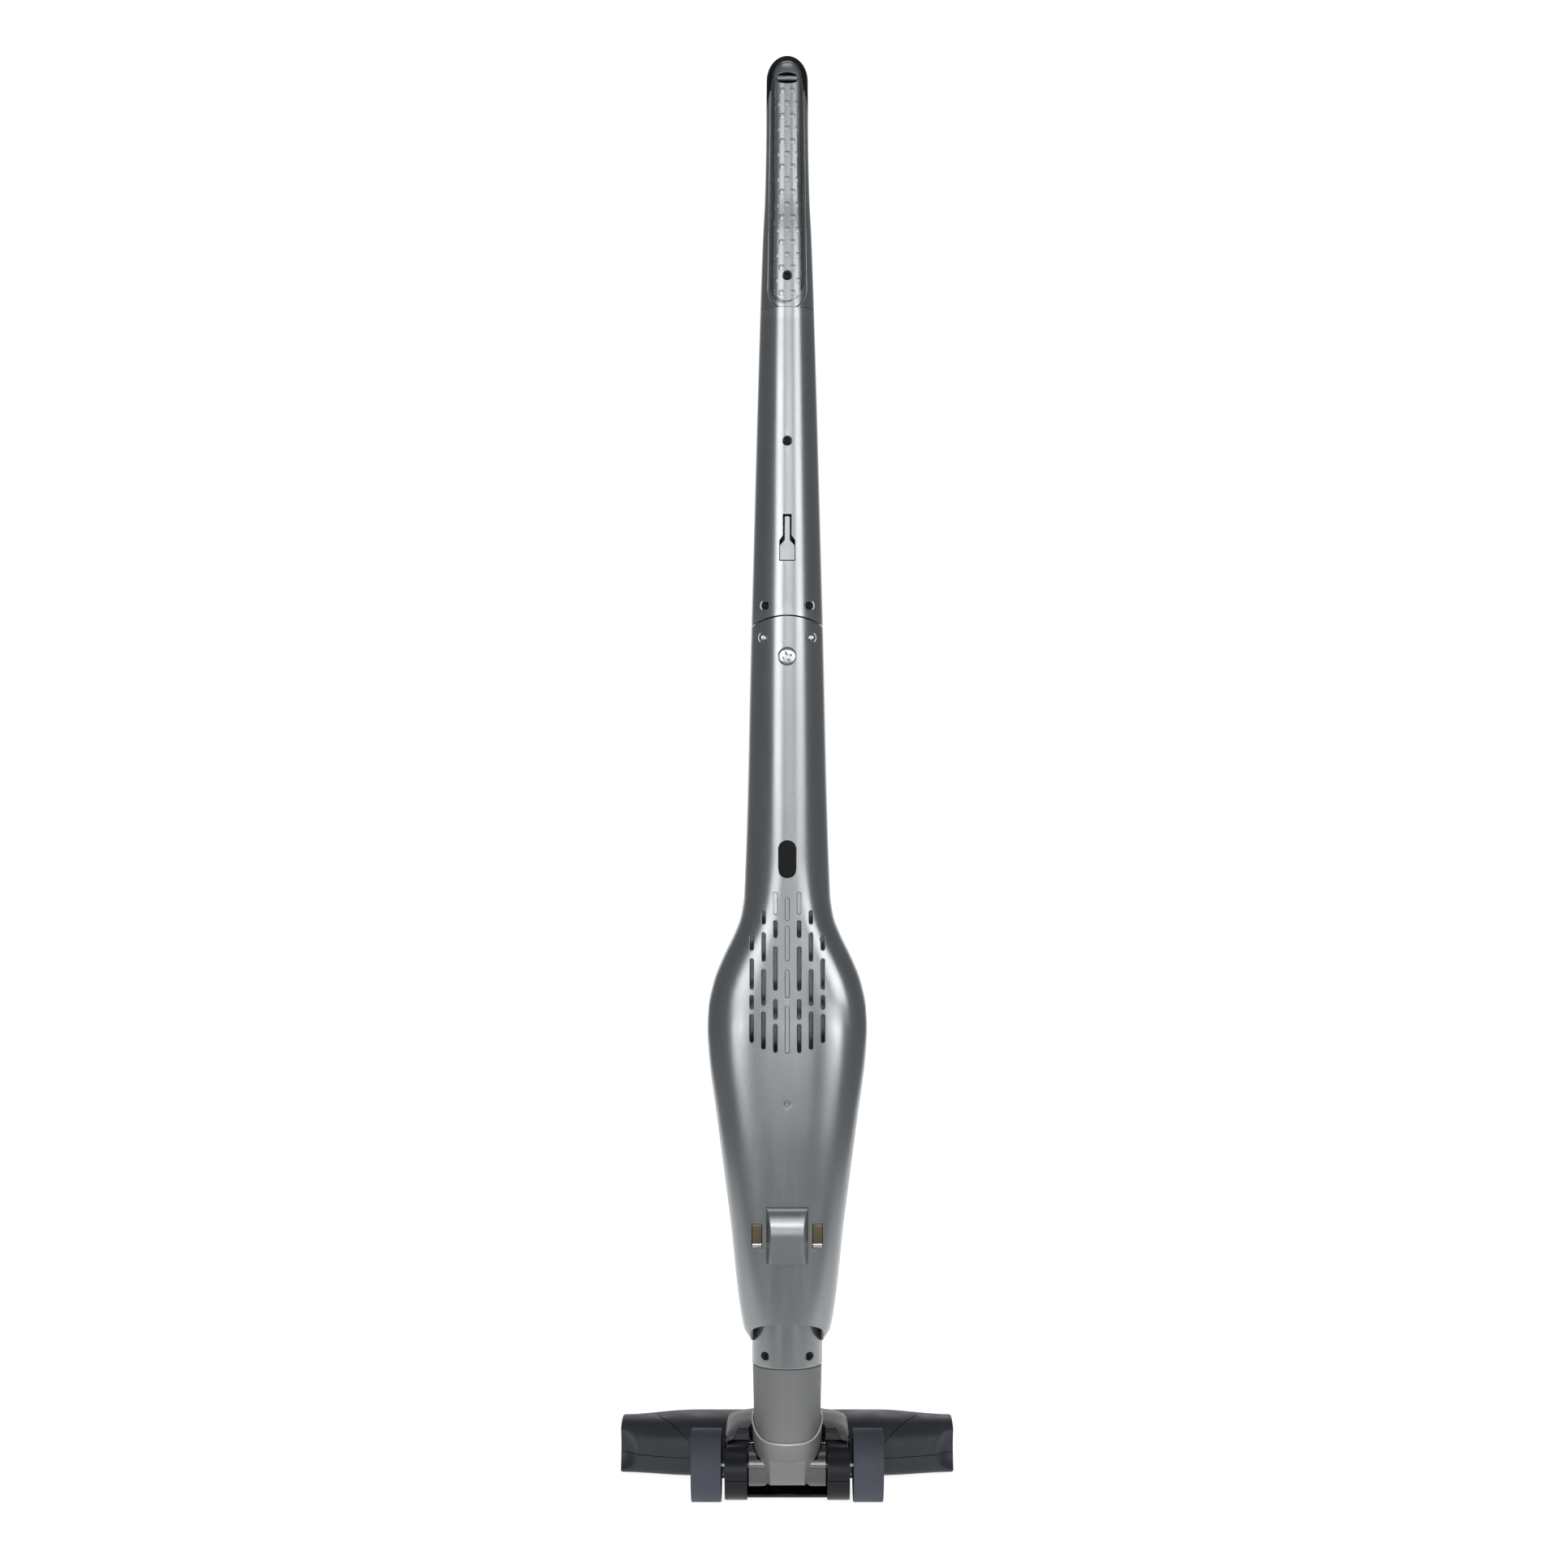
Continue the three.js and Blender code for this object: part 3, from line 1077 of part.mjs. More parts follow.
function addDustCup() {
  const form = handUnitForm(0);
  const cupZone = block([-FAR, -FAR, CUP_BOTTOM_Z + GAP], [FAR, FAR, CUP_TOP_Z]);
  add("dust_cup", cut(form.intersect(cupZone), handUnitForm(-2)), CLEAR);
  const nozzleZone = block([-FAR, -FAR, 0], [FAR, FAR, CUP_BOTTOM_Z]);
  const inlet = block([-9, -35, 150], [9, -20, CUP_BOTTOM_Z + 5]);
  add("cup_nozzle", cut(form.intersect(nozzleZone), inlet), BLACK);

  const rimOuter = handUnitForm(-2 - GAP).intersect(block([-FAR, -FAR, 282], [FAR, FAR, CUP_TOP_Z]));
  const cone = [
    [0, 223], [13, 223], [26, 282], [26, CUP_TOP_Z], [24, CUP_TOP_Z], [24, 282], [12, 225.5], [0, 225.5],
  ];
  const coneProfile = cone.map(([r, z]) => new THREE.Vector2(r, z));
  const cage = solid(new THREE.LatheGeometry(coneProfile, 16).rotateX(Math.PI / 2));
  const bore = rod("z", 200, 300, [0, HAND_AXIS_Y], 25);
  const frame = union(cut(rimOuter, bore), cage.translate([0, HAND_AXIS_Y, 0]));
  const windows = [0, 60, 120].map((deg) => {
    const window = new THREE.BoxGeometry(90, 8, 40).translate(0, 0, 252);
    return solid(window.rotateZ((deg * Math.PI) / 180).translate(0, HAND_AXIS_Y, 0));
  });
  add("filter_frame", cut(frame, ...windows), BLACK);

  const folds = 14;
  const star = Array.from({ length: folds * 2 }, (_, i) => {
    const radius = i % 2 ? 8 : 11.2;
    const angle = (Math.PI * i) / folds;
    return [radius * Math.cos(angle), HAND_AXIS_Y + radius * Math.sin(angle)];
  });
  add("pleated_filter", prism("z", star, 226, 288), FILTER_WHITE);

  const face = cupButtonFaceY();
  add("cup_release_button", rod("y", face, face + 7, [0, CUP_BUTTON_Z], 5, 5, 16), SATIN_GREY);
}

function cupButtonFaceY() {
  return through(HAND_UNIT.map(([z, , front]) => [z, front]), CUP_BUTTON_Z) - 2;
}

addHandUnit();
addFan();
addDustCup();

// The origin is on the floor under the middle of the whole object's box.
vacuum.position.y = -(NOZZLE_FRONT_Y + HOOK_FACE_Y) / 2;

export default vacuum;
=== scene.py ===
"""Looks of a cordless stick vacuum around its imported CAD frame: fine shells, vents, screws, floor head,
hand unit, procedural materials, studio light and camera.

Shapes are written in millimetres in the design frame, whose y = 0 and x = 0 are the wheel axle's middle.
place() turns each finished mesh into metres in the row frame.
"""
import math
import random

import bmesh
import bpy
from mathutils import Matrix, Vector


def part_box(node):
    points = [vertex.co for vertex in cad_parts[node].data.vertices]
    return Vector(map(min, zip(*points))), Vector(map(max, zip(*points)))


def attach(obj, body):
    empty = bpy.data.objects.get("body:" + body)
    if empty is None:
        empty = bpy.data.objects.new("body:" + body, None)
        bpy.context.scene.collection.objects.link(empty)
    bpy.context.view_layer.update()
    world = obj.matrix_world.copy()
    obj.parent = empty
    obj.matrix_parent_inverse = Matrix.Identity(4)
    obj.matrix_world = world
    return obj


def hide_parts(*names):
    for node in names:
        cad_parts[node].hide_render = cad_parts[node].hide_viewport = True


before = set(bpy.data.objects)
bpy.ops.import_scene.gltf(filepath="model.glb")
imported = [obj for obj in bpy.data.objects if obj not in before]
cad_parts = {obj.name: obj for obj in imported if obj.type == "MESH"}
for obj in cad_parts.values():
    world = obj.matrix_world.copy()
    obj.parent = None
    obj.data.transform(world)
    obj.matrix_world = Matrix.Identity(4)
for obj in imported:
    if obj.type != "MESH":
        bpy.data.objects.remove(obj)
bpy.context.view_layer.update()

MM = 0.001
AXLE_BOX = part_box("wheel_left")
ORIGIN_Y = (AXLE_BOX[0].y + AXLE_BOX[1].y) / 2 / MM  # the design frame's y = 0 in the row frame

# ---- driving dimensions, millimetres -----------------------------------------------------------------
GAP = 0.3  # between neighbouring pieces
SEAM = 0.5  # between shells whose joint shows
WALL = 2.5
FAR = 400.0  # past every piece sideways and in depth, for cutters
DEEP = 60.0  # more than the stick's depth, for cutters
CLEAR_Z = 1300.0  # above everything
HEAD_CLEAR_Z = 90.0  # above the floor head
SIDES = (("left", 1), ("right", -1))
PARTING_Y = -6.0
HANDLE_TOP_Z = 1123.3
TIP_DOME_HEIGHT = 19.3
JOINT_CENTRE_Z, JOINT_EDGE_Z, JOINT_REACH_X, JOINT_GAP = 686.4, 676.6, 32.0, 1.2
BODY_LOW_Z = 126.6
GRIP_SEAM_Z = 925.0
SPIGOT_RADIUS, SPIGOT_TOP_Z = 27.4, 156.0
NECK_RADIUS, NECK_TOP_RADIUS, NECK_TOP_Z = 26.1, 27.2, 107.5
DUCT_RADIUS = 17.0
PIVOT_Z = 28.0
SCREW_SEAT_DEPTH = 3.6

# Half-width, rear depth, front depth and squareness of the stick against height.
HALF_WIDTH = [
    (126.6, 28.4), (131, 31.2), (136, 34), (221, 44.5), (297, 54.3), (347, 60.8), (368, 62), (385, 61.1),
    (404, 57.3), (423, 50), (441, 41.3), (455, 36), (473, 33.4), (681, 27.8), (927, 20.9), (983, 18.9),
    (1012, 17.4), (1050, 16.5), (1104, 16),
]
REAR_DEPTH = [
    (126.6, 28.4), (136, 32.5), (221, 35), (300, 37), (368, 37.2), (385, 36.8), (420, 35.3), (455, 33.7),
    (473, 33), (681, 27.4), (927, 20.5), (983, 18.5), (1012, 17), (1104, 15.5),
]
FRONT_DEPTH = [
    (126.6, 29), (136, 36), (150, 47), (170, 50), (205, 42), (250, 27), (470, 27), (500, 32), (681, 27.4),
    (927, 21), (1104, 17),
]
SQUARENESS = [(136, 2.3), (221, 3), (300, 3.4), (385, 3.2), (455, 2.4), (500, 2), (1104, 2)]


# ---- curves and outlines -----------------------------------------------------------------------------
def lerp(a, b, t):
    return a + (b - a) * t


def smooth(t):
    t = min(1.0, max(0.0, t))
    return t * t * (3 - 2 * t)


def round_angles(count):
    return [2 * math.pi * i / count for i in range(count)]


def signed_power(value, power):
    return math.copysign(abs(value) ** power, value)


def through(stations, t):
    """Smooth value at t through (t, value) stations, flat beyond its ends and without overshoot."""
    last = len(stations) - 1
    if t <= stations[0][0]:
        return stations[0][1]
    if t >= stations[last][0]:
        return stations[last][1]
    k = next(i for i, (at, _) in enumerate(stations) if at > t) - 1

    def slope(i):
        return (stations[i + 1][1] - stations[i][1]) / (stations[i + 1][0] - stations[i][0])

    def tangent(i):
        if i in (0, last):
            return slope(min(i, last - 1))
        before, after = slope(i - 1), slope(i)
        return 0 if before * after <= 0 else 2 * before * after / (before + after)

    (t0, v0), (t1, v1) = stations[k], stations[k + 1]
    h = t1 - t0
    s = (t - t0) / h
    curve = (2 * s**3 - 3 * s**2 + 1) * v0 + (3 * s**2 - 2 * s**3) * v1
    return curve + h * ((s**3 - 2 * s**2 + s) * tangent(k) + (s**3 - s**2) * tangent(k + 1))


def spread(low, high, step):
    """Evenly spaced values from low to high, about a step apart."""
    count = max(1, round((high - low) / step))
    return [lerp(low, high, i / count) for i in range(count + 1)]


def arc(centre_u, centre_v, radius_u, radius_v, from_deg, to_deg, steps):
    angles = [math.radians(lerp(from_deg, to_deg, i / steps)) for i in range(steps + 1)]
    return [(centre_u + radius_u * math.cos(a), centre_v + radius_v * math.sin(a)) for a in angles]


def slot(centre_u, low_v, high_v, half_width, steps=8):
    """An upright slot outline with round ends."""
    top = arc(centre_u, high_v - half_width, half_width, half_width, 0, 180, steps)
    return top + arc(centre_u, low_v + half_width, half_width, half_width, 180, 360, steps)


def circle(centre_u, centre_v, radius, steps=32):
    return arc(centre_u, centre_v, radius, radius, 0, 360, steps)[:-1]


def rounded(outline, radius, steps=4):
    """The outline with each corner cut by a small arc of about that radius."""
    made = []
    for i, corner in enumerate(outline):
        here = Vector(corner)
        before, after = Vector(outline[i - 1]), Vector(outline[(i + 1) % len(outline)])
        reach = min(radius, (before - here).length * 0.45, (after - here).length * 0.45)
        start = here + (before - here).normalized() * reach
        end = here + (after - here).normalized() * reach
        for k in range(steps + 1):
            t = k / steps
            made.append(tuple(start * (1 - t) ** 2 + here * 2 * t * (1 - t) + end * t**2))
    return made


def evenly(points, count):
    """The open line through points as count points, equal distances apart."""
    lengths = [0.0]
    for a, b in zip(points, points[1:]):
        lengths.append(lengths[-1] + math.dist(a, b))
    made, k = [], 0
    for i in range(count):
        want = lengths[-1] * i / (count - 1)
        while k < len(points) - 2 and lengths[k + 1] < want:
            k += 1
        t = (want - lengths[k]) / max(1e-9, lengths[k + 1] - lengths[k])
        made.append(tuple(lerp(p, q, t) for p, q in zip(points[k], points[k + 1])))
    return made


def swept(point, count):
    """The closed line of point(cosine, sine) over a full turn, four times as fine as count points."""
    angles = [2 * math.pi * i / (count * 4) for i in range(count * 4 + 1)]
    return [point(math.cos(a), math.sin(a)) for a in angles]


# ---- the stick's form --------------------------------------------------------------------------------
def half_width_at(z):
    return through(HALF_WIDTH, z)


def tip_closure(z):
    above = max(0.0, z - (HANDLE_TOP_Z - TIP_DOME_HEIGHT)) / TIP_DOME_HEIGHT
    return math.sqrt(max(0.0, 1 - above**2))


def rear_surface_y(x, z):
    """Rear surface of the stick at a point across and up."""
    closure = tip_closure(z)
    across = min(1.0, abs(x / (half_width_at(z) * closure + 1e-6)))
    power = through(SQUARENESS, z)
    return through(REAR_DEPTH, z) * closure * (1 - across**power) ** (1 / power)


def spigot_surface_y(x, z):
    return math.sqrt(max(0.0, SPIGOT_RADIUS**2 - x**2))


LEAST_REACH = 0.6  # keeps the ring at the dome's top open


def stick_ring(z, inset, count):
    """A level ring of the stick, its points equal distances apart, from the right side anticlockwise."""
    closure = tip_closure(z)
    half = max(LEAST_REACH, half_width_at(z) * closure - inset)
    rear = max(LEAST_REACH, through(REAR_DEPTH, z) * closure - inset)
    front = max(LEAST_REACH, through(FRONT_DEPTH, z) * closure - inset)
    power = 2 / through(SQUARENESS, z)

    def point(c, s):
        return (half * signed_power(c, power), (rear if s > 0 else front) * signed_power(s, power))

    fine = swept(point, count)
    halves = [evenly(fine[: count * 2 + 1], count // 2 + 1), evenly(fine[count * 2 :], count // 2 + 1)]
    return [(x, y, z) for x, y in halves[0][:-1] + halves[1][:-1]]


# ---- solids ------------------------------------------------------------------------------------------
def solid(points, faces):
    """A temporary object from a closed mesh, in millimetres, its faces turned outwards."""
    mesh = bpy.data.meshes.new("solid")
    mesh.from_pydata([tuple(p) for p in points], [], faces)
    bm = bmesh.new()
    bm.from_mesh(mesh)
    bmesh.ops.remove_doubles(bm, verts=bm.verts, dist=1e-4)
    bmesh.ops.recalc_face_normals(bm, faces=bm.faces)
    bm.to_mesh(mesh)
    bm.free()
    made = bpy.data.objects.new("solid", mesh)
    bpy.context.scene.collection.objects.link(made)
    return made


def drop(*objects):
    for o in objects:
        mesh = o.data
        bpy.data.objects.remove(o)
        bpy.data.meshes.remove(mesh)


def bake(made):
    """Replaces the object's mesh by what its modifiers make of it."""
    graph = bpy.context.evaluated_depsgraph_get()
    old = made.data
    made.data = bpy.data.meshes.new_from_object(made.evaluated_get(graph), depsgraph=graph)
    made.modifiers.clear()
    bpy.data.meshes.remove(old)
    return made


def combine(made, tools, operation):
    for tool in tools:
        modifier = made.modifiers.new("combine", "BOOLEAN")
        modifier.operation = operation
        modifier.solver = "MANIFOLD"
        modifier.object = tool
    bake(made)
    drop(*tools)
    return made


def cut(made, *tools):
    return combine(made, tools, "DIFFERENCE")


def union(made, *others):
    return combine(made, others, "UNION")


def common(made, *tools):
    return combine(made, tools, "INTERSECT")


def together(*pieces):
    """Solids that don't touch each other, as one object."""
    bm = bmesh.new()
    for p in pieces:
        bm.from_mesh(p.data)
    bm.to_mesh(pieces[0].data)
    bm.free()
    drop(*pieces[1:])
    return pieces[0]


def copy_of(made):
    twin = made.copy()
    twin.data = made.data.copy()
    bpy.context.scene.collection.objects.link(twin)
    return twin


def mirrored(made, side):
    """The same solid on the other side of x = 0 when side is -1."""
    if side < 0:
        made.data.transform(Matrix.Diagonal((-1, 1, 1, 1)))
        made.data.flip_normals()
    return made


def add_bevel(made, width, segments, angle):
    modifier = made.modifiers.new("soften", "BEVEL")
    modifier.width = width
    modifier.segments = segments
    modifier.limit_method = "ANGLE"
    modifier.angle_limit = math.radians(angle)


def soften(made, width, segments=2, angle=35):
    """Rounds the edges that turn by more than the angle, in degrees."""
    add_bevel(made, width, segments, angle)
    return bake(made)


def block(low, high):
    xs, ys, zs = zip(low, high)
    points = [(x, y, z) for z in zs for y in ys for x in xs]
    faces = [(0, 1, 3, 2), (4, 6, 7, 5), (0, 4, 5, 1), (2, 3, 7, 6), (0, 2, 6, 4), (1, 5, 7, 3)]
    return solid(points, faces)


def below_level(z):
    return block((-FAR, -FAR, 0), (FAR, FAR, z))


def above_level(z):
    """Everything of the floor head over a level."""
    return block((-FAR, -FAR, z), (FAR, FAR, HEAD_CLEAR_Z))


def loft(rings):
    """A closed solid through rings of equal point count, with a flat end face on the first and last."""
    count = len(rings[0])
    points = [p for ring in rings for p in ring]
    faces = [tuple(range(count)), tuple(range((len(rings) - 1) * count, len(rings) * count))]
    for r in range(len(rings) - 1):
        for i in range(count):
            a, b = r * count + i, r * count + (i + 1) % count
            faces.append((a, b, b + count, a + count))
    return solid(points, faces)


AXES = {
    "x": lambda u, v, w: (w, u, v),
    "y": lambda u, v, w: (u, w, v),
    "z": lambda u, v, w: (u, v, w),
}


def prism(axis, outline, low, high):
    """An outline extruded along an axis: u, v are y, z along x; x, z along y; x, y along z."""
    at = AXES[axis]
    return loft([[at(u, v, w) for u, v in outline] for w in (low, high)])


def turned(axis, profile, centre, sides=64):
    """A (radius, place along the axis) profile turned about an axis through the centre."""
    at = AXES[axis]
    cu, cv = centre
    angles = round_angles(sides)
    rings = []
    for radius, w in profile:
        rings.append([at(cu + radius * math.cos(a), cv + radius * math.sin(a), w) for a in angles])
    return loft(rings)


def rod(axis, low, high, centre, radius, end_radius=None, sides=48):
    end = radius if end_radius is None else end_radius
    return turned(axis, [(radius, low), (end, high)], centre, sides)


def edged_rod(axis, low, high, centre, radius, edge, sides=64):
    """A cylinder with rounded rims."""
    start = [(radius - edge + edge * math.sin(a), low + edge - edge * math.cos(a)) for a in quarter(4)]
    end = [(r, low + high - w) for r, w in reversed(start)]
    return turned(axis, start + end, centre, sides)


def quarter(steps):
    return [math.pi / 2 * i / steps for i in range(steps + 1)]


def stick(low, high, step=4.0, inset=0.0, count=96):
    levels = spread(low, high, step)
    dome = HANDLE_TOP_Z - TIP_DOME_HEIGHT
    if high > dome:
        straight = [z for z in levels if z < dome]
        reach = math.asin(min(1.0, (high - dome) / TIP_DOME_HEIGHT))
        levels = straight + [dome + TIP_DOME_HEIGHT * math.sin(reach * i / 12) for i in range(13)]
    return loft([stick_ring(z, inset, count) for z in levels])


def sunk(outline, surface_y, profile):
    """A cutter whose rim follows a surface. The profile is (offset from the surface, growth) pairs,
    and the outline is a function of the growth."""
    rings = []
    for offset, growth in profile:
        rings.append([(x, surface_y(x, z) + offset, z) for x, z in outline(growth)])
    return loft(rings)


RIM = [(1.2, 0.75), (0.0, 0.55), (-0.2, 0.22), (-0.55, 0.0)]  # a soft rim where a cut meets the surface


def recess(outline, depth, surface_y=rear_surface_y, rim=RIM):
    return sunk(outline, surface_y, rim + [(-depth, 0.0)])


# ---- finishing pieces --------------------------------------------------------------------------------
def place(made, name, body, replaces=(), material=None, sharp=38):
    """Turns a solid in millimetres into a finished piece in metres that rides on a CAD body."""
    made.name = name
    made.data.name = name
    made.data.transform(Matrix.Translation((0, ORIGIN_Y * MM, 0)) @ Matrix.Scale(MM, 4))
    made.data.shade_smooth()
    made.data.set_sharp_from_angle(angle=math.radians(sharp))
    weighted = made.modifiers.new("weighted normals", "WEIGHTED_NORMAL")
    weighted.keep_sharp = True
    made.data.materials.clear()
    made.data.materials.append(material)
    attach(made, body)
    if replaces:
        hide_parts(*replaces)
    return made


# ---- materials ---------------------------------------------------------------------------------------
def nodes_of(name):
    material = bpy.data.materials.new(name)
    material.use_nodes = True
    tree = material.node_tree
    shader = tree.nodes["Principled BSDF"]
    coordinates = tree.nodes.new("ShaderNodeTexCoord")
    return material, tree, shader, coordinates.outputs["Object"]


def noise(tree, vector, scale, detail=3.0, stretch=None):
    if stretch:
        mapping = tree.nodes.new("ShaderNodeMapping")
        mapping.inputs["Scale"].default_value = stretch
        tree.links.new(vector, mapping.inputs["Vector"])
        vector = mapping.outputs["Vector"]
    texture = tree.nodes.new("ShaderNodeTexNoise")
    texture.inputs["Scale"].default_value = scale
    texture.inputs["Detail"].default_value = detail
    tree.links.new(vector, texture.inputs["Vector"])
    return texture.outputs["Fac"]


def ranged(tree, value, low, high, from_low=0.0, from_high=1.0):
    node = tree.nodes.new("ShaderNodeMapRange")
    node.inputs["From Min"].default_value = from_low
    node.inputs["From Max"].default_value = from_high
    node.inputs["To Min"].default_value = low
    node.inputs["To Max"].default_value = high
    tree.links.new(value, node.inputs["Value"])
    return node.outputs["Result"]


def maths(tree, operation, a, b):
    node = tree.nodes.new("ShaderNodeMath")
    node.operation = operation
    for socket, value in zip(node.inputs, (a, b)):
        if isinstance(value, (int, float)):
            socket.default_value = value
        else:
            tree.links.new(value, socket)
    return node.outputs[0]


def tinted(tree, factor, dark, light):
    node = tree.nodes.new("ShaderNodeMix")
    node.data_type = "RGBA"
    node.inputs["A"].default_value = (*dark, 1)
    node.inputs["B"].default_value = (*light, 1)
    tree.links.new(factor, node.inputs["Factor"])
    return node.outputs["Result"]


def bumped(tree, shader, height, distance, strength=1.0):
    node = tree.nodes.new("ShaderNodeBump")
    node.inputs["Distance"].default_value = distance
    node.inputs["Strength"].default_value = strength
    tree.links.new(height, node.inputs["Height"])
    tree.links.new(node.outputs["Normal"], shader.inputs["Normal"])


def plastic(name, colour, roughness, metallic=0.0, grain=1500.0, depth=0.00002, fleck=0.0, coat=0.0,
            coat_roughness=0.1, cloud=0.06, scuff=0.05, specular=0.5):
    """Moulded plastic: slow tone drift, fine grain, flecks, faint scuffs in the gloss and worn edges."""
    material, tree, shader, here = nodes_of(name)
    drift = noise(tree, here, 14.0, 2.0)
    flecks = noise(tree, here, 5200.0, 1.0)
    drift = ranged(tree, drift, -cloud, cloud)
    tone = maths(tree, "ADD", drift, ranged(tree, flecks, -fleck, fleck, 0.3, 0.7))
    geometry = tree.nodes.new("ShaderNodeNewGeometry")
    worn = ranged(tree, geometry.outputs["Pointiness"], 0.0, 0.12, 0.53, 0.60)
    tone = maths(tree, "ADD", tone, worn)
    factor = ranged(tree, tone, 0.0, 1.0, -0.5, 0.5)
    dark = [c * 0.5 for c in colour]
    light = [min(1.0, c * 1.5) for c in colour]
    tree.links.new(tinted(tree, factor, dark, light), shader.inputs["Base Color"])
    scuffs = noise(tree, here, 60.0, 6.0, (1.0, 1.0, 0.12))
    gloss = maths(tree, "ADD", ranged(tree, scuffs, -scuff, scuff, 0.3, 0.7), roughness)
    tree.links.new(gloss, shader.inputs["Roughness"])
    bumped(tree, shader, noise(tree, here, grain, 2.0), depth)
    shader.inputs["Metallic"].default_value = metallic
    shader.inputs["Specular IOR Level"].default_value = specular
    shader.inputs["Coat Weight"].default_value = coat
    shader.inputs["Coat Roughness"].default_value = coat_roughness
    return material


def metal(name, colour, roughness, stretch=(1.0, 1.0, 1.0), scratch=0.12, depth=0.00001):
    """Plated metal with fine scratches and a slightly uneven tone."""
    material, tree, shader, here = nodes_of(name)
    lines = noise(tree, here, 1400.0, 4.0, stretch)
    drift = noise(tree, here, 60.0, 3.0)
    dark = [c * 0.72 for c in colour]
    tree.links.new(tinted(tree, drift, dark, colour), shader.inputs["Base Color"])
    tree.links.new(ranged(tree, lines, roughness - scratch, roughness + scratch), shader.inputs["Roughness"])
    bumped(tree, shader, lines, depth)
    shader.inputs["Metallic"].default_value = 1.0
    return material


def clear_plastic(name, colour, roughness):
    material, tree, shader, here = nodes_of(name)
    haze = noise(tree, here, 45.0, 5.0)
    tree.links.new(ranged(tree, haze, roughness, roughness + 0.12, 0.35, 0.7), shader.inputs["Roughness"])
    tree.links.new(tinted(tree, haze, [c * 0.9 for c in colour], colour), shader.inputs["Base Color"])
    bumped(tree, shader, noise(tree, here, 30.0, 2.0), 0.00005)
    shader.inputs["Transmission Weight"].default_value = 0.92
    shader.inputs["IOR"].default_value = 1.45
    return material


def fibre(name, dark, light, scale, stretch, depth=0.00008, roughness=0.9):
    """Paper, bristle or wrap with a direction to its grain."""
    material, tree, shader, here = nodes_of(name)
    strands = noise(tree, here, scale, 4.0, stretch)
    tone = ranged(tree, strands, 0, 1, 0.3, 0.7)
    tree.links.new(tinted(tree, tone, dark, light), shader.inputs["Base Color"])
    tree.links.new(ranged(tree, strands, roughness - 0.1, roughness), shader.inputs["Roughness"])
    bumped(tree, shader, strands, depth)
    return material


SILVER = plastic("body_silver", (0.245, 0.257, 0.262), 0.26, metallic=0.9, grain=900, depth=0.00001,
                 fleck=0.10, coat=0.2)
SATIN = plastic("satin_grey", (0.155, 0.158, 0.155), 0.46, metallic=0.35, grain=1900, fleck=0.12)
# Painted highlight: the collar's rim bead is part of the satin collar but is coloured pale, so it shows as a
# thin bright line of reflected light.
PAINTED_RIM_HIGHLIGHT = plastic("painted_rim_highlight", (0.62, 0.62, 0.61), 0.3, metallic=0.6, grain=900, depth=0.00001)
SHROUD = plastic("shroud_grey", (0.095, 0.096, 0.098), 0.4, metallic=0.5, grain=1700, fleck=0.12)
TAB_GREY = plastic("tab_grey", (0.035, 0.037, 0.041), 0.45, grain=1600, depth=0.00003, fleck=0.12,
                   specular=0.3)
SLATE = plastic("slate", (0.020, 0.023, 0.030), 0.42, grain=1700, depth=0.00004, fleck=0.12, scuff=0.08,
                specular=0.3)
WHEEL = plastic("wheel_grey", (0.042, 0.048, 0.062), 0.62, depth=0.00005, fleck=0.16, scuff=0.1,
                specular=0.3)
BLACK = plastic("black_plastic", (0.006, 0.007, 0.009), 0.34, grain=1600, depth=0.00003, fleck=0.1,
                scuff=0.08, specular=0.2)
TIP_BLACK = plastic("tip_black", (0.008, 0.008, 0.009), 0.6, depth=0.00004, fleck=0.1, specular=0.1)
PIANO = plastic("piano_black", (0.005, 0.005, 0.006), 0.22, grain=500, depth=0.000004, scuff=0.03,
                specular=0.12)
RUBBER = plastic("soft_rubber", (0.018, 0.018, 0.019), 0.8, grain=900, depth=0.00006, fleck=0.15)
DRUM = plastic("drum_metallic", (0.085, 0.088, 0.09), 0.2, metallic=0.9, grain=800, depth=0.00001,
               fleck=0.08, coat=0.3)
STEEL = metal("steel", (0.66, 0.66, 0.67), 0.26)
BRONZE = metal("bronze", (0.115, 0.098, 0.064), 0.38, stretch=(1.0, 1.0, 0.1))
CLEAR = clear_plastic("clear", (0.62, 0.68, 0.70), 0.04)
BRISTLE = fibre("bristle", (0.03, 0.032, 0.04), (0.10, 0.105, 0.13), 2400, (0.2, 1, 1))
PAPER = fibre("filter_white", (0.62, 0.62, 0.58), (0.82, 0.82, 0.78), 1300, (1, 1, 0.3))
WRAP = fibre("battery_wrap", (0.08, 0.16, 0.30), (0.13, 0.23, 0.40), 120, (0.3, 1, 1), 0.00003, 0.45)


# ---- screws ------------------------------------------------------------------------------------------
# Where a screw's recess opens: x, z, recess radius.
NECK_SCREWS = {"left": (17, 117.2, 3.0), "right": (-17, 117.2, 3.0)}
BODY_SCREWS = {"left": (18, 670.3, 3.0), "right": (-18, 670.3, 3.0)}
HANDLE_SCREWS = {"left": (16.5, 694.9, 3.0), "right": (-16.5, 694.9, 3.0)}
MID_SCREW = (0, 821.5, 3.5)
GRIP_SCREW = (0, 949.4, 3.5)
LOCK_BOLT = (0, 655.5, 6.8)


def screw_recess(x, z, radius, surface_y=rear_surface_y):
    """The counterbore and shank hole of a screw."""
    rim = recess(lambda grow: circle(x, z, radius + grow), SCREW_SEAT_DEPTH, surface_y)
    seat = surface_y(x, z) - SCREW_SEAT_DEPTH
    return union(rim, rod("y", seat - 12, seat + 1.5, (x, z), 2.0, sides=24))


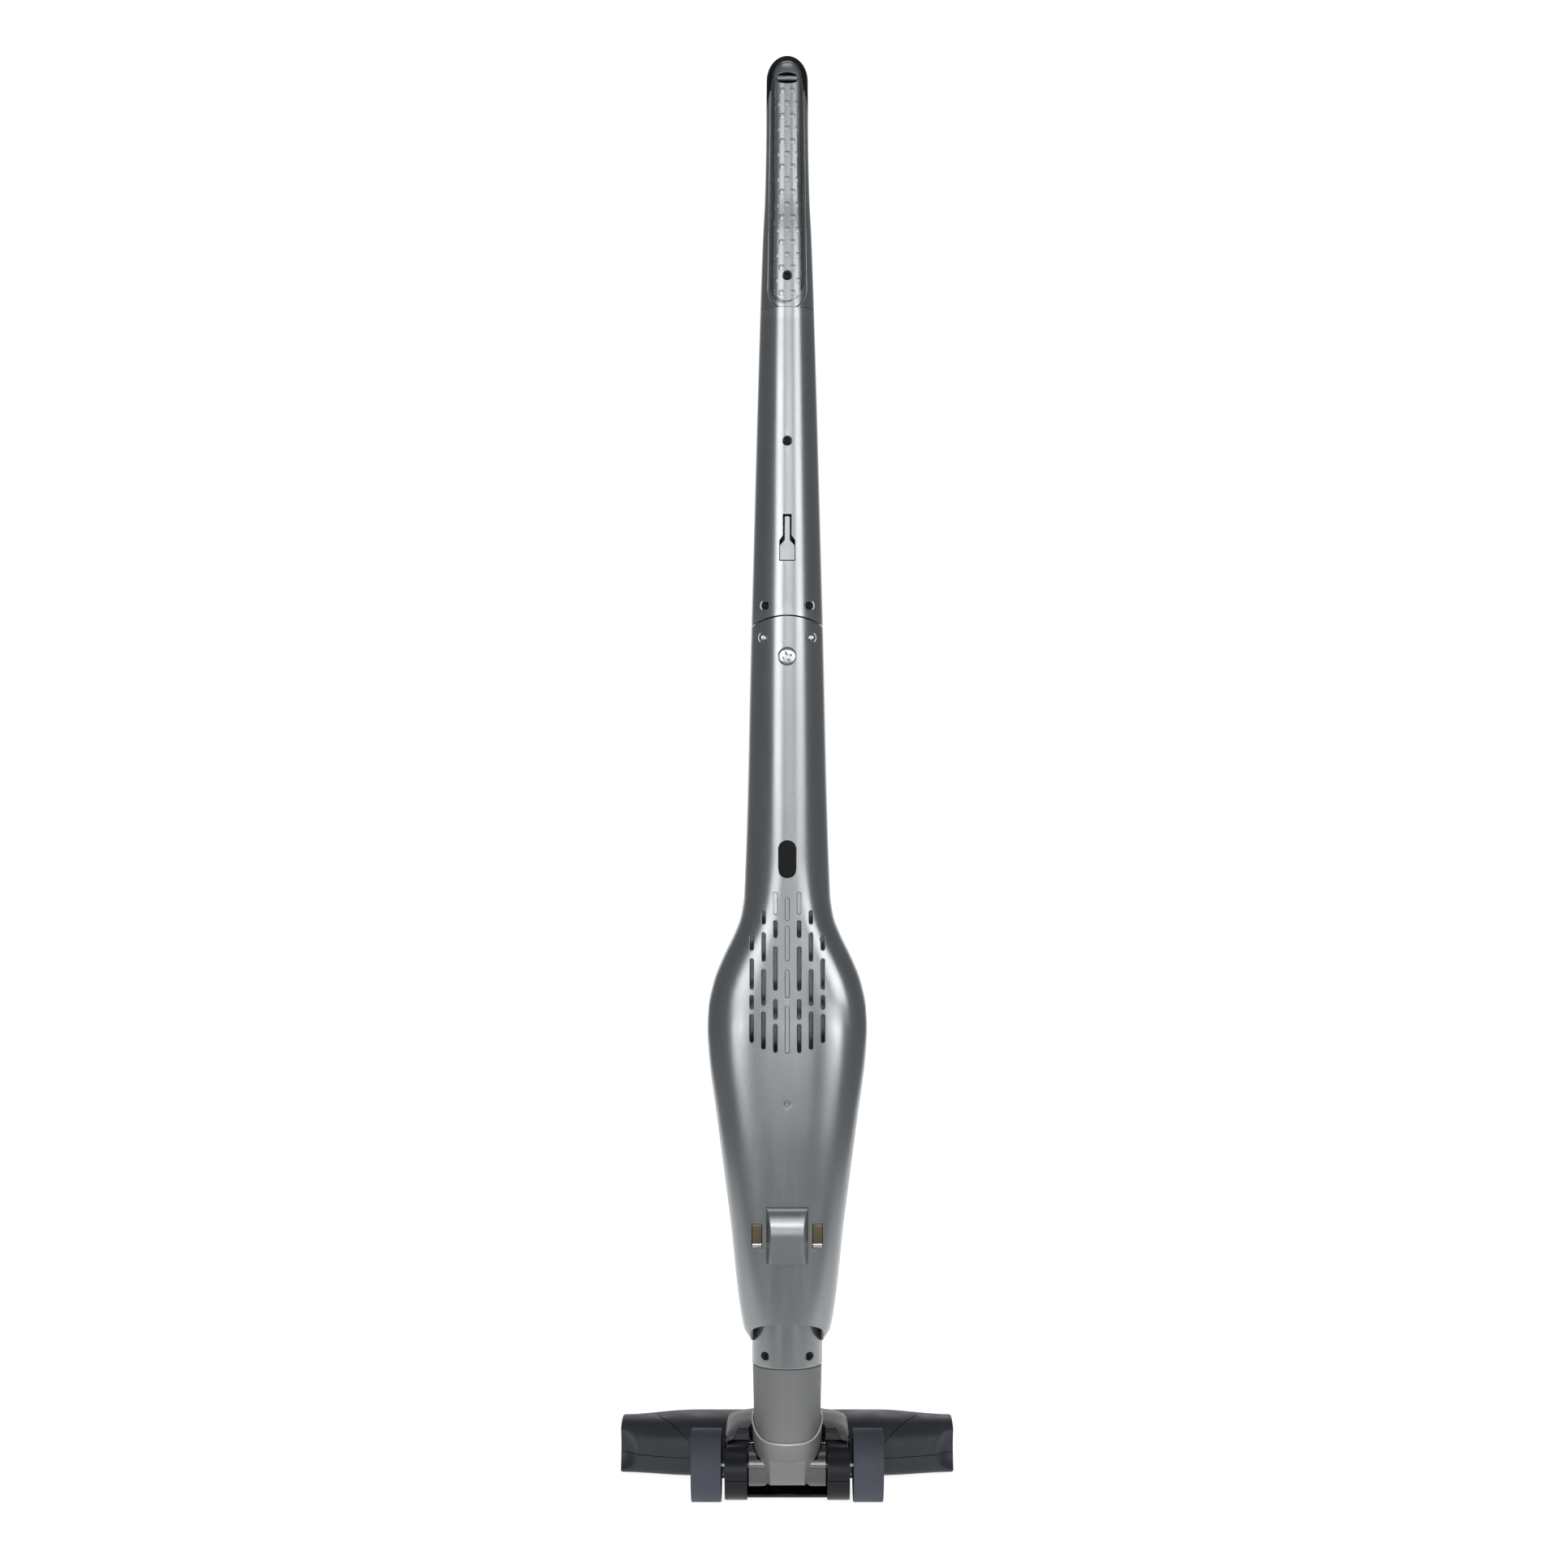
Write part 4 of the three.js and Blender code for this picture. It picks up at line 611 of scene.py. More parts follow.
def add_screw(name, at, body, material, turn, surface_y=rear_surface_y):
    """A pan-head screw with a cross recess, turned as it was left by the driver."""
    x, z, radius = at
    seat = surface_y(x, z) - SCREW_SEAT_DEPTH + GAP
    head = radius - 0.35
    dome = [(head * 0.96, seat), (head, seat + 0.25), (head, seat + 1.0)]
    dome += [(head * math.cos(a), seat + 1.0 + 1.0 * math.sin(a)) for a in (0.3, 0.6, 0.9, 1.2)]
    dome.append((head * 0.12, seat + 1.96))
    made = turned("y", dome, (x, z), 40)
    made = union(made, rod("y", seat - 11, seat + 0.3, (x, z), 1.5, sides=20))
    arm, width = head * 0.62, head * 0.15
    for angle in (turn, turn + math.pi / 2):
        along = Vector((math.cos(angle), math.sin(angle)))
        side = Vector((-along.y, along.x))
        rings = []
        for depth, share in ((0.5, 0.45), (1.2, 0.8), (2.4, 1.1)):
            corners = [(1, 1), (-1, 1), (-1, -1), (1, -1)]
            spots = [along * arm * share * a + side * width * share * b for a, b in corners]
            rings.append([(x + p.x, seat + depth, z + p.y) for p in spots])
        made = cut(made, loft(rings))
    return place(made, name + "_fine", body, [name], material, sharp=30)


# ---- body --------------------------------------------------------------------------------------------
VENT_PITCH = 9.1
VENT_HALF_WIDTH = 1.35
# Slots by column away from the centre line, each (low, high); the blind ones are only shallow marks.
OPEN_VENTS = {
    1: [(440, 453), (399.7, 433), (378, 393), (352.4, 374)],
    2: [(450.3, 460.5), (422, 443.6), (388.5, 415.7), (355, 383.5)],
    3: [(430.2, 441), (400.7, 423.7), (385.5, 396), (360, 381.5)],
}
BLIND_VENTS = {0: [(453, 470.1), (422.5, 448.6), (394.4, 415.3), (352, 387.6)], 1: [(458, 474.5)]}


BODY_TOP_Z = 692.0  # the arched joint trims it
DIMPLE_Z, DIMPLE_RADIUS, DIMPLE_DEPTH, NUB_RADIUS = 312.5, 2.3, 1.1, 1.3
PLUG_LOW_Z, PLUG_HIGH_Z, PLUG_HALF_WIDTH = 486.0, 513.8, 6.4
SKIRT_LOW_Z, SKIRT_ARCH_Z, SKIRT_RISE = 100.0, 135.5, 8.5


def body_form():
    return stick(BODY_LOW_Z, BODY_TOP_Z, 4.0, 0.0, 144)


def plug_outline(grow):
    return slot(0, PLUG_LOW_Z - grow, PLUG_HIGH_Z + grow, PLUG_HALF_WIDTH + grow, 16)


def skirt_outline(grow):
    """The arched gap in the body's lower edge, through which the spigot shows."""
    span = SPIGOT_RADIUS + GAP + grow
    crown = arc(0, SKIRT_ARCH_Z, span, SKIRT_RISE + grow, 0, 180, 24)
    return [(span, SKIRT_LOW_Z)] + crown + [(-span, SKIRT_LOW_Z)]


def above_arch(offset, steps=24):
    """An outline that fills everything above the arched joint."""
    bottom = []
    for i in range(steps + 1):
        x = lerp(-JOINT_REACH_X, JOINT_REACH_X, i / steps)
        rise = (JOINT_EDGE_Z - JOINT_CENTRE_Z) * (x / JOINT_REACH_X) ** 2
        bottom.append((x, JOINT_CENTRE_Z + rise + offset))
    return bottom + [(JOINT_REACH_X, CLEAR_Z), (-JOINT_REACH_X, CLEAR_Z)]


def behind():
    return block((-FAR, PARTING_Y, 0), (FAR, FAR, CLEAR_Z))


def ahead():
    return block((-FAR, -FAR, 0), (FAR, PARTING_Y - GAP, CLEAR_Z))


def vent_cutters():
    made = []
    for columns, depth in ((OPEN_VENTS, 9.0), (BLIND_VENTS, 0.75)):
        for column, spans in columns.items():
            for side in ((1, -1) if column else (1,)):
                x = side * VENT_PITCH * column
                made += [vent_cutter(x, low, high, depth) for low, high in spans]
    return together(*made)


def vent_cutter(x, low, high, depth):
    return recess(lambda grow: slot(x, low - grow, high + grow, VENT_HALF_WIDTH + grow), depth)


CONTACT_X, CONTACT_LOW_Z, CONTACT_HIGH_Z, CONTACT_HALF, CONTACT_DEPTH = 23.2, 202.6, 220.5, 3.6, 2.2
CONTACT_TOE = 2.6  # height of the bright lower end


def contact_window(side):
    def outline(grow):
        half = CONTACT_HALF + GAP + grow * 0.5
        low, high = CONTACT_LOW_Z - GAP - grow * 0.5, CONTACT_HIGH_Z + GAP + grow * 0.5
        x = side * CONTACT_X
        return rounded([(x - half, low), (x + half, low), (x + half, high), (x - half, high)], 0.6)
    return recess(outline, 10.0)


def spigot_socket():
    return rod("z", 0, SPIGOT_TOP_Z + GAP, (0, 0), SPIGOT_RADIUS + GAP, sides=96)


def add_body_rear():
    made = soften(common(body_form(), behind()), 0.35)
    made = cut(made, prism("y", above_arch(0), -DEEP, DEEP))
    inner = common(stick(158, 700, 8.0, WALL, 64), block((-FAR, -FAR, 150), (FAR, FAR, 700)))
    arch = sunk(skirt_outline, lambda x, z: 0.0, [(DEEP, 0.0), (8, 0.0)])
    made = cut(made, inner, spigot_socket(), arch)
    bosses = [screw_boss(at) for at in (*BODY_SCREWS.values(), LOCK_BOLT)]
    made = union(made, *bosses)
    made = cut(made, *[screw_recess(*at) for at in (*BODY_SCREWS.values(), LOCK_BOLT)])
    made = cut(made, vent_cutters(), together(contact_window(1), contact_window(-1)))
    plug = recess(lambda grow: plug_outline(grow + GAP), 12.0)
    dimple = recess(lambda grow: circle(0, DIMPLE_Z, DIMPLE_RADIUS + grow * 1.6, 40), DIMPLE_DEPTH)
    made = cut(made, plug, dimple, hook_feet(GAP))
    surface = rear_surface_y(0, DIMPLE_Z)
    profile = [(NUB_RADIUS, 30), (NUB_RADIUS, surface - 0.4), (NUB_RADIUS - 0.4, surface - 0.1)]
    room = block((-5, surface - 1.6, DIMPLE_Z - 12.5), (5, FAR, DIMPLE_Z + 7.5))
    made = union(made, common(turned("y", profile, (0, DIMPLE_Z), 24), room))
    place(made, "body_rear_fine", "stick", ["body_rear_shell"], SILVER, sharp=24)


def screw_boss(at, depth=5.0):
    x, z, radius = at
    seat = rear_surface_y(x, z) - SCREW_SEAT_DEPTH
    return rod("y", seat - depth, seat + 1.2, (x, z), radius + 1.6, sides=32)


FOOT_X, FOOT_HALF, FOOT_LOW_Z, FOOT_HIGH_Z = 12.0, 1.8, 226.0, 233.0


def hook_feet(gap):
    """The hook's two feet, which pass through the body's wall."""
    half, low, high = FOOT_HALF + gap, FOOT_LOW_Z - gap, FOOT_HIGH_Z + gap
    return together(*[block((x - half, 26, low), (x + half, DEEP, high)) for x in (FOOT_X, -FOOT_X)])


HOOK_LOW_Z, HOOK_HIGH_Z, HOOK_HALF_WIDTH, HOOK_FACE_Y = 191.2, 235.0, 16.0, 43.6
HOOK_ROOT_Y, HOOK_CAVITY_HALF = 34.0, 11.0


def add_hook():
    """The hook narrows towards its face and hangs down over a cavity that is open below."""
    outline = [(HOOK_ROOT_Y, HOOK_HIGH_Z - 1)]
    outline += arc(HOOK_FACE_Y - 9, HOOK_HIGH_Z - 23, 9, 22, 90, 0, 20)
    outline += [(HOOK_FACE_Y, HOOK_LOW_Z), (HOOK_ROOT_Y, HOOK_LOW_Z)]
    made = prism("x", outline, -HOOK_HALF_WIDTH, HOOK_HALF_WIDTH)
    taper = [(-19.5, 30), (19.5, 30), (12.4, HOOK_FACE_Y), (-12.4, HOOK_FACE_Y)]
    made = soften(common(made, prism("z", taper, 0, FAR)), 1.3, 4)
    cavity = block((-HOOK_CAVITY_HALF, 0, HOOK_LOW_Z - 5),
                   (HOOK_CAVITY_HALF, HOOK_FACE_Y - WALL, HOOK_HIGH_Z - 8))
    made = cut(made, cavity, stick(180, 260, 4.0, -GAP, 96))
    feet = common(hook_feet(0), block((-FAR, 28, 0), (FAR, 37.5, FAR)))
    made = union(made, feet)
    place(made, "wall_hook_fine", "stick", ["wall_hook"], SILVER)


def add_contacts():
    """Two bent plates, each with a leg into the body."""
    for label, side in SIDES:
        x = side * CONTACT_X
        y = rear_surface_y(x, 211) - CONTACT_DEPTH
        half = CONTACT_HALF
        outline = [(y - 1, CONTACT_LOW_Z), (y + 1.6, CONTACT_LOW_Z), (y + 1.6, 203.2)]
        outline += arc(y + 1.6, 204.8, 1.6, 1.6, 270, 180, 5)
        outline += [(y, 217.5), (y - 0.7, CONTACT_HIGH_Z), (y - 1.3, CONTACT_HIGH_Z), (y - 1, 217)]
        plate = soften(prism("x", outline, x - half, x + half), 0.15)
        made = union(plate, block((x - 1.5, y - 7.5, 210), (x + 1.5, y - 0.5, 213)))
        name = f"charge_contact_{label}"
        toe = below_level(CONTACT_LOW_Z + CONTACT_TOE)
        place(cut(copy_of(made), copy_of(toe)), name + "_fine", "stick", [name], BRONZE)
        place(common(made, toe), name + "_toe", "stick", [name], STEEL)


RELEASE_BUTTON_Z, RELEASE_BUTTON_RADIUS = 512.0, 7.0
DOCK_WALL_Y, DOCK_LOW_Z, DOCK_HIGH_Z = -14.0, 158.0, 486.0
SPLINT_RADIUS, SPLINT_LOW_Z, SPLINT_HIGH_Z = 17.0, 632.0, 712.0

# Height, half-width and front of the hand unit.
HAND_UNIT = [
    (160, 20, -42), (180, 25, -53), (210, 31, -64), (250, 38, -75), (300, 43, -83), (350, 45, -86),
    (385, 43, -83), (400, 36, -74), (406, 26, -62),
]
HAND_BACK_Y = -14.8
HAND_SQUARENESS = 2.6
CUP_LOW_Z, CUP_TOP_Z = 185.0, 292.0
HAND_AXIS_Y = -48.0
CUP_BUTTON_Z = 312.0


def chords(stations, z):
    """Straight-line value at z through (z, value) stations."""
    for (z0, v0), (z1, v1) in zip(stations, stations[1:]):
        if z <= z1:
            return lerp(v0, v1, max(0.0, (z - z0) / (z1 - z0)))
    return stations[-1][1]


def hand_front_y(z):
    return chords([(at, front) for at, _, front in HAND_UNIT], z)


def hand_ring(z, grow, count=96):
    half = through([(at, half) for at, half, _ in HAND_UNIT], z) + grow
    front = through([(at, front) for at, _, front in HAND_UNIT], z)
    centre = (HAND_BACK_Y + front) / 2
    depth = (HAND_BACK_Y - front) / 2 + grow
    power = 2 / HAND_SQUARENESS

    def point(c, s):
        return (half * signed_power(c, power), centre + depth * signed_power(s, power))

    return [(x, y, z) for x, y in evenly(swept(point, count), count + 1)[:-1]]


def hand_form(low, high, grow=0.0, step=4.0):
    return loft([hand_ring(z, grow) for z in spread(low, high, step)])


def dock_pocket():
    right = [(half + 1, z) for z, half, _ in HAND_UNIT]
    left = [(-x, z) for x, z in reversed(right)]
    floor = right[0][0]
    outline = [(-floor, DOCK_LOW_Z), (floor, DOCK_LOW_Z)] + right + left
    return prism("y", outline, -FAR, DOCK_WALL_Y)


def add_body_front():
    made = common(body_form(), ahead())
    above_dock = block((-FAR, -FAR, DOCK_LOW_Z + 62), (FAR, DOCK_WALL_Y, DOCK_HIGH_Z))
    made = soften(cut(made, above_dock, prism("y", above_arch(0), -DEEP, DEEP)), 0.4)
    made = cut(made, dock_pocket())
    room = block((-FAR, DOCK_WALL_Y + WALL, 0), (FAR, FAR, 900))
    behind_dock = common(stick(DOCK_LOW_Z + 4, DOCK_HIGH_Z - 4, 8.0, WALL, 64), room)
    made = cut(made, behind_dock, stick(DOCK_HIGH_Z + 4, 700, 8.0, WALL, 64))
    made = cut(
        made,
        spigot_socket(),
        block((-9, -36, 146), (9, -4, 164)),
        rod("y", -DEEP, -20, (0, RELEASE_BUTTON_Z), RELEASE_BUTTON_RADIUS + GAP),
        rod("z", 628, 720, (0, 0), SPLINT_RADIUS + GAP),
    )
    made = cut(made, *[screw_recess(*at) for at in (*BODY_SCREWS.values(), LOCK_BOLT)])
    place(made, "body_front_fine", "stick", ["body_front_frame"], SILVER)


def add_release_button():
    face = -through(FRONT_DEPTH, RELEASE_BUTTON_Z) - 2.6
    centre = (0, RELEASE_BUTTON_Z)
    profile = [(0.5, face + 0.5), (3.0, face + 0.42), (5.4, face + 0.12), (6.3, face), (6.8, face + 0.3)]
    profile += [(RELEASE_BUTTON_RADIUS, face + 0.9), (RELEASE_BUTTON_RADIUS, face + 8)]
    made = union(turned("y", profile, centre, 64), rod("y", face + 7.9, face + 16, centre, 3.0))
    place(made, "release_button_fine", "dock_button", ["release_button"], BLACK)


def add_oval_plug():
    """The glossy plug sits low in its slot, with a rounded edge of its own."""
    made = sunk(plug_outline, rear_surface_y, [(-4.2, 0.0), (-1.5, 0.0), (-1.0, -0.12), (-0.8, -0.5)])
    place(made, "oval_plug_fine", "stick", ["oval_plug"], PIANO)


# ---- neck --------------------------------------------------------------------------------------------
def add_neck():
    profile = [(23.6, 45.5), (23.6, 50.0), (NECK_RADIUS, 50.3), (NECK_RADIUS, 61.0), (NECK_RADIUS, 76)]
    profile += [(NECK_TOP_RADIUS - 0.35, NECK_TOP_Z - 0.8), (NECK_TOP_RADIUS - 0.45, NECK_TOP_Z - 0.35)]
    profile += [(NECK_TOP_RADIUS - 0.9, NECK_TOP_Z)]
    made = cut(turned("z", profile, (0, 0), 128), rod("z", 0, FAR, (0, 0), DUCT_RADIUS, sides=96))
    place(made, "neck_tube_fine", "stick", ["neck_tube"], SATIN)

    profile = [(SPIGOT_RADIUS - 0.9, NECK_TOP_Z + GAP), (SPIGOT_RADIUS - 0.3, NECK_TOP_Z + 0.6)]
    profile += [(SPIGOT_RADIUS, NECK_TOP_Z + 1.3), (SPIGOT_RADIUS, SPIGOT_TOP_Z)]
    spigot = cut(turned("z", profile, (0, 0), 128), rod("z", 0, FAR, (0, 0), DUCT_RADIUS, sides=96))
    spigot = cut(spigot, *[screw_recess(*at, spigot_surface_y) for at in NECK_SCREWS.values()])
    place(spigot, "body_spigot_fine", "stick", ["body_spigot"], SILVER)


# ---- handle ------------------------------------------------------------------------------------------
CLIP_NARROW_HALF, CLIP_WIDE_HALF = 3.2, 5.65


def clip_outline(narrow, wide, low_z, shoulder_z, high_z):
    return [
        (-wide, low_z), (wide, low_z), (wide, shoulder_z), (narrow, shoulder_z + 4), (narrow, high_z),
        (-narrow, high_z), (-narrow, shoulder_z + 4), (-wide, shoulder_z),
    ]


CLIP_LOW_Z = 729.2  # the keyhole's lower end
HANDLE_LOW_Z, HANDLE_HOLLOW_HIGH_Z = 640.0, 920.0


def keyhole_outline(grow):
    rim = grow * 0.4
    narrow, wide = CLIP_NARROW_HALF + rim, CLIP_WIDE_HALF + GAP + rim
    return rounded(clip_outline(narrow, wide, CLIP_LOW_Z - rim, 744.7, 764.8 + rim), 0.4)


def tongue_outline(grow):
    outline = clip_outline(1.9 + grow, CLIP_WIDE_HALF + grow, CLIP_LOW_Z + GAP - grow, 741, 763.4 + grow)
    return rounded(outline, 0.7)


def add_handle_tube():
    form = stick(HANDLE_LOW_Z, GRIP_SEAM_Z, 6.0, 0.0, 128)
    outer = common(form, prism("y", above_arch(JOINT_GAP), -DEEP, DEEP))
    splint = edged_rod("z", SPLINT_LOW_Z, SPLINT_HIGH_Z, (0, 0), SPLINT_RADIUS, 1.0)
    screws = [screw_recess(*at) for at in (*HANDLE_SCREWS.values(), MID_SCREW)]
    keyhole = recess(keyhole_outline, 9.0)
    rear = soften(common(copy_of(outer), behind()), 0.35)
    rear = cut(rear, stick(HANDLE_LOW_Z, HANDLE_HOLLOW_HIGH_Z, 10.0, WALL, 64))
    rear = union(rear, *[screw_boss(at) for at in (*HANDLE_SCREWS.values(), MID_SCREW)])
    room = rod("z", 0, SPLINT_HIGH_Z + GAP, (0, 0), SPLINT_RADIUS + GAP, sides=64)
    rear = cut(rear, room, *[copy_of(s) for s in screws], keyhole)
    place(rear, "handle_rear_fine", "stick", ["handle_rear_shell"], SILVER, sharp=24)

    front = soften(common(outer, ahead()), 0.35)
    front = cut(front, stick(SPLINT_HIGH_Z, HANDLE_HOLLOW_HIGH_Z, 10.0, WALL, 64))
    front = cut(union(front, splint), screw_recess(*LOCK_BOLT), *screws)
    place(front, "handle_front_fine", "stick", ["handle_front_shell"], SILVER)


def add_clip():
    """The clip's tongue lies just under the surface in its keyhole, with a crease across its plate."""
    made = sunk(tongue_outline, rear_surface_y, [(-2.2, 0.0), (-0.45, 0.0), (-0.15, -0.1), (-0.02, -0.4)])
    crease = block((-4.4, rear_surface_y(0, 735) - 0.5, 738.4), (4.4, DEEP, 739.0))
    made = cut(made, crease)
    place(made, "accessory_clip_fine", "stick", ["accessory_clip"], SILVER)


INLAY_LOW_Z, INLAY_HIGH_Z, INLAY_LOW_HALF, INLAY_HIGH_HALF, INLAY_DEPTH = 923.6, 1118.0, 14.9, 12.6, 1.6
HANG_Z, HANG_HALF_WIDTH, HANG_HALF_HEIGHT = 1103.0, 7.9, 4.1
HANG_BAR_Y, HANG_BAR_RADIUS = 12.9, 1.5


def inlay_outline(grow):
    low, high = INLAY_LOW_HALF + grow, INLAY_HIGH_HALF + grow
    top_z, low_z = INLAY_HIGH_Z - 10, INLAY_LOW_Z + INLAY_LOW_HALF
    right = [(lerp(low, high, i / 30), lerp(low_z, top_z, i / 30)) for i in range(1, 30)]
    left = [(-x, z) for x, z in reversed(right)]
    return arc(0, top_z, high, 10 + grow, 0, 180, 24) + left + arc(0, low_z, low, low, 180, 360, 28) + right


def hang_outline(grow):
    half, rise = HANG_HALF_WIDTH + grow, HANG_HALF_HEIGHT + grow
    return arc(0, HANG_Z + 1, half, rise - 1, 0, 180, 16) + arc(0, HANG_Z - 1, half, rise - 1, 180, 360, 16)


def split_outline(shift):
    """Side view of what lies ahead of the line where the black grip front meets the silver rear."""
    line = [(PARTING_Y - GAP / 2, 900), (PARTING_Y - GAP / 2, 1030)]
    line += [(y, z) for y, z in ((-4.6, 1046), (-1.2, 1064), (4, 1084), (8.6, 1094), (11, 1104), (11, 1200))]
    return [(-60, 900)] + [(y + shift, z) for y, z in line] + [(-60, 1200)]


SLIDER_LOW_Z, SLIDER_HIGH_Z, SLIDER_HALF = 1002.0, 1026.0, 5.0
BUMP_ROWS = 17
BUMP_HIGH_Z, BUMP_LOW_Z = 1093.0, 936.0
BUMP_HALF, BUMP_HEIGHT = 1.95, 0.3
BUMP_PITCH = (7.6, 9.1)  # across, in the top and the bottom row
BUMP_CLEARANCE = 2.6  # round the screw


def bump(x, z):
    """A low rounded-square pad on the grip."""
    rings = []
    for share, height in ((1.06, -0.25), (1.03, 0.0), (0.98, 0.6), (0.86, 0.92), (0.5, 1.0), (0.12, 1.0)):
        ring = []
        for angle in round_angles(24):
            u = x + BUMP_HALF * share * signed_power(math.cos(angle), 0.5)
            v = z + BUMP_HALF * 1.08 * share * signed_power(math.sin(angle), 0.5)
            ring.append((u, rear_surface_y(u, v) + (height * BUMP_HEIGHT if height > 0 else height), v))
        rings.append(ring)
    return loft(rings)


def bumps():
    made = []
    for row in range(BUMP_ROWS):
        z = lerp(BUMP_HIGH_Z, BUMP_LOW_Z, row / (BUMP_ROWS - 1))
        pitch = lerp(*BUMP_PITCH, row / (BUMP_ROWS - 1))
        columns = (-0.5, 0.5) if row % 2 == 0 else (-1, 0, 1)
        for column in columns:
            if math.dist((column * pitch, z), (0, GRIP_SCREW[1])) > GRIP_SCREW[2] + BUMP_CLEARANCE:
                made.append(bump(column * pitch, z))
    return together(*made)


def add_grip():
    surface = stick(GRIP_SEAM_Z + GAP, 1121.5, 3.0, 0.0, 128)
    inner = stick(915, 1090, 8.0, WALL + 1.5, 48)
    seat_rim = [(2.0, 0.5), (0.0, 0.4), (-0.3, GAP / 2), (-INLAY_DEPTH, GAP / 2)]
    seat = sunk(inlay_outline, rear_surface_y, seat_rim)
    hang = sunk(hang_outline, rear_surface_y, [(2.0, 0.9), (0.0, 0.7), (-0.6, 0.15), (-1.2, 0.0), (-9, -1.0)])
    rear = soften(cut(copy_of(surface), prism("x", split_outline(GAP), -DEEP, DEEP)), 0.25)
    rear = cut(rear, copy_of(inner))
    rear = union(rear, screw_boss(GRIP_SCREW, 5.0))
    rear = cut(rear, seat, screw_recess(*GRIP_SCREW), copy_of(hang))
    place(rear, "grip_rear_fine", "stick", ["grip_rear_shell"], SILVER, sharp=24)

    skin = cut(copy_of(surface), stick(900, 1123, 3.0, INLAY_DEPTH - GAP, 128))
    inlay_rim = [(3.0, -0.5), (0.0, -0.45), (-0.35, -GAP / 2), (-9, -GAP / 2)]
    inlay = common(skin, sunk(inlay_outline, rear_surface_y, inlay_rim))
    inlay = cut(inlay, prism("x", split_outline(GAP * 2), -DEEP, DEEP))
    inlay = union(inlay, bumps())
    inlay = cut(inlay, screw_recess(*GRIP_SCREW), copy_of(hang))
    place(inlay, "grip_inlay_fine", "stick", ["grip_inlay"], SILVER)

    tip = stick(GRIP_SEAM_Z + GAP, HANDLE_TOP_Z - 0.02, 3.0, 0.0, 128)
    tip = soften(common(tip, prism("x", split_outline(0), -DEEP, DEEP)), 0.25)
    way_half = SLIDER_HALF + GAP
    slider_way = block((-way_half, -DEEP, SLIDER_LOW_Z - 9), (way_half, -8, SLIDER_HIGH_Z + 9))
    tip = cut(tip, inner, soften(slider_way, 0.8, 3), screw_recess(*GRIP_SCREW), hang)
    place(tip, "grip_front_fine", "stick", ["grip_front"], TIP_BLACK)
    drop(surface)

    reach = HANG_HALF_WIDTH - GAP
    bar = []
    for i in range(17):
        x = lerp(-reach, reach, i / 16)
        radius = HANG_BAR_RADIUS * (1 - 0.18 * (x / reach) ** 4)
        bar.append([(x, HANG_BAR_Y + radius * math.cos(a), HANG_Z + 1.35 * radius * math.sin(a))
                    for a in round_angles(24)])
    place(loft(bar), "hang_bar_fine", "stick", ["hang_bar"], SILVER)


def add_slider():
    """The power slider's cap, ribbed for the thumb."""
    face = -through(FRONT_DEPTH, SLIDER_HIGH_Z) - 2.4
    cap = block((-SLIDER_HALF, face, SLIDER_LOW_Z), (SLIDER_HALF, face + 9, SLIDER_HIGH_Z))
    made = soften(cap, 0.7, 3)
    ridges = []
    for rise in (4, 8, 12, 16, 20):
        z = SLIDER_LOW_Z + rise
        profile = [(face + 0.5, z - 1)] + arc(face + 0.1, z, 0.9, 0.9, 250, 110, 8) + [(face + 0.5, z + 1)]
        ridges.append(prism("x", profile, -4.2, 4.2))
    made = union(made, together(*ridges))
    place(made, "power_slider_fine", "power_switch", ["power_slider"], SATIN)


# ---- knuckle -----------------------------------------------------------------------------------------
DRUM_RADIUS, DRUM_HALF_LENGTH = 16.5, 30.4
COLLAR_LOW_Z, WEB_LOW_Z, WEB_FACE_HALF, WEB_LOW_HALF = 36.0, 17.0, 13.2, 14.8
COLLAR_SIDES = 128
AXLE_BORE = 2.8
AXLE = (0, PIVOT_Z)
# Height of the collar's rim against the angle from the rear, in degrees.
COLLAR_RIM = [(0, 50.6), (30, 51.3), (46, 53.0), (60, 56.3), (75, 61.2), (90, 66.0), (120, 70.0), (180, 72.5)]


def rim_z(angle):
    """Height of the collar's rim at an angle in radians round its axis: low at the rear, high in front."""
    from_rear = abs(math.degrees(math.remainder(angle - math.pi / 2, 2 * math.pi)))
    return through(COLLAR_RIM, from_rear)


def above_rim():
    """Everything over the collar's rim."""
    angles = round_angles(COLLAR_SIDES)
    middle = [(0.5 * math.cos(a), 0.5 * math.sin(a), COLLAR_RIM[-1][1]) for a in angles]
    inside, outside = ([(r * math.cos(a), r * math.sin(a), rim_z(a) - 0.6) for a in angles] for r in (20, 40))
    high = [(40 * math.cos(a), 40 * math.sin(a), 100) for a in angles]
    return loft([middle, inside, outside, high])


def rim_lip():
    """A narrow bead with a bevelled top that runs round the collar's sloping rim."""
    section = [(26.55, -1.3), (27.3, -1.3), (27.75, -0.95), (27.7, -0.7), (27.0, 0.0), (26.55, 0.0)]
    rings = []
    for angle in round_angles(COLLAR_SIDES):
        c, s = math.cos(angle), math.sin(angle)
        rings.append([(r * c, r * s, rim_z(angle) + w) for r, w in section])
    return ring_solid(rings)


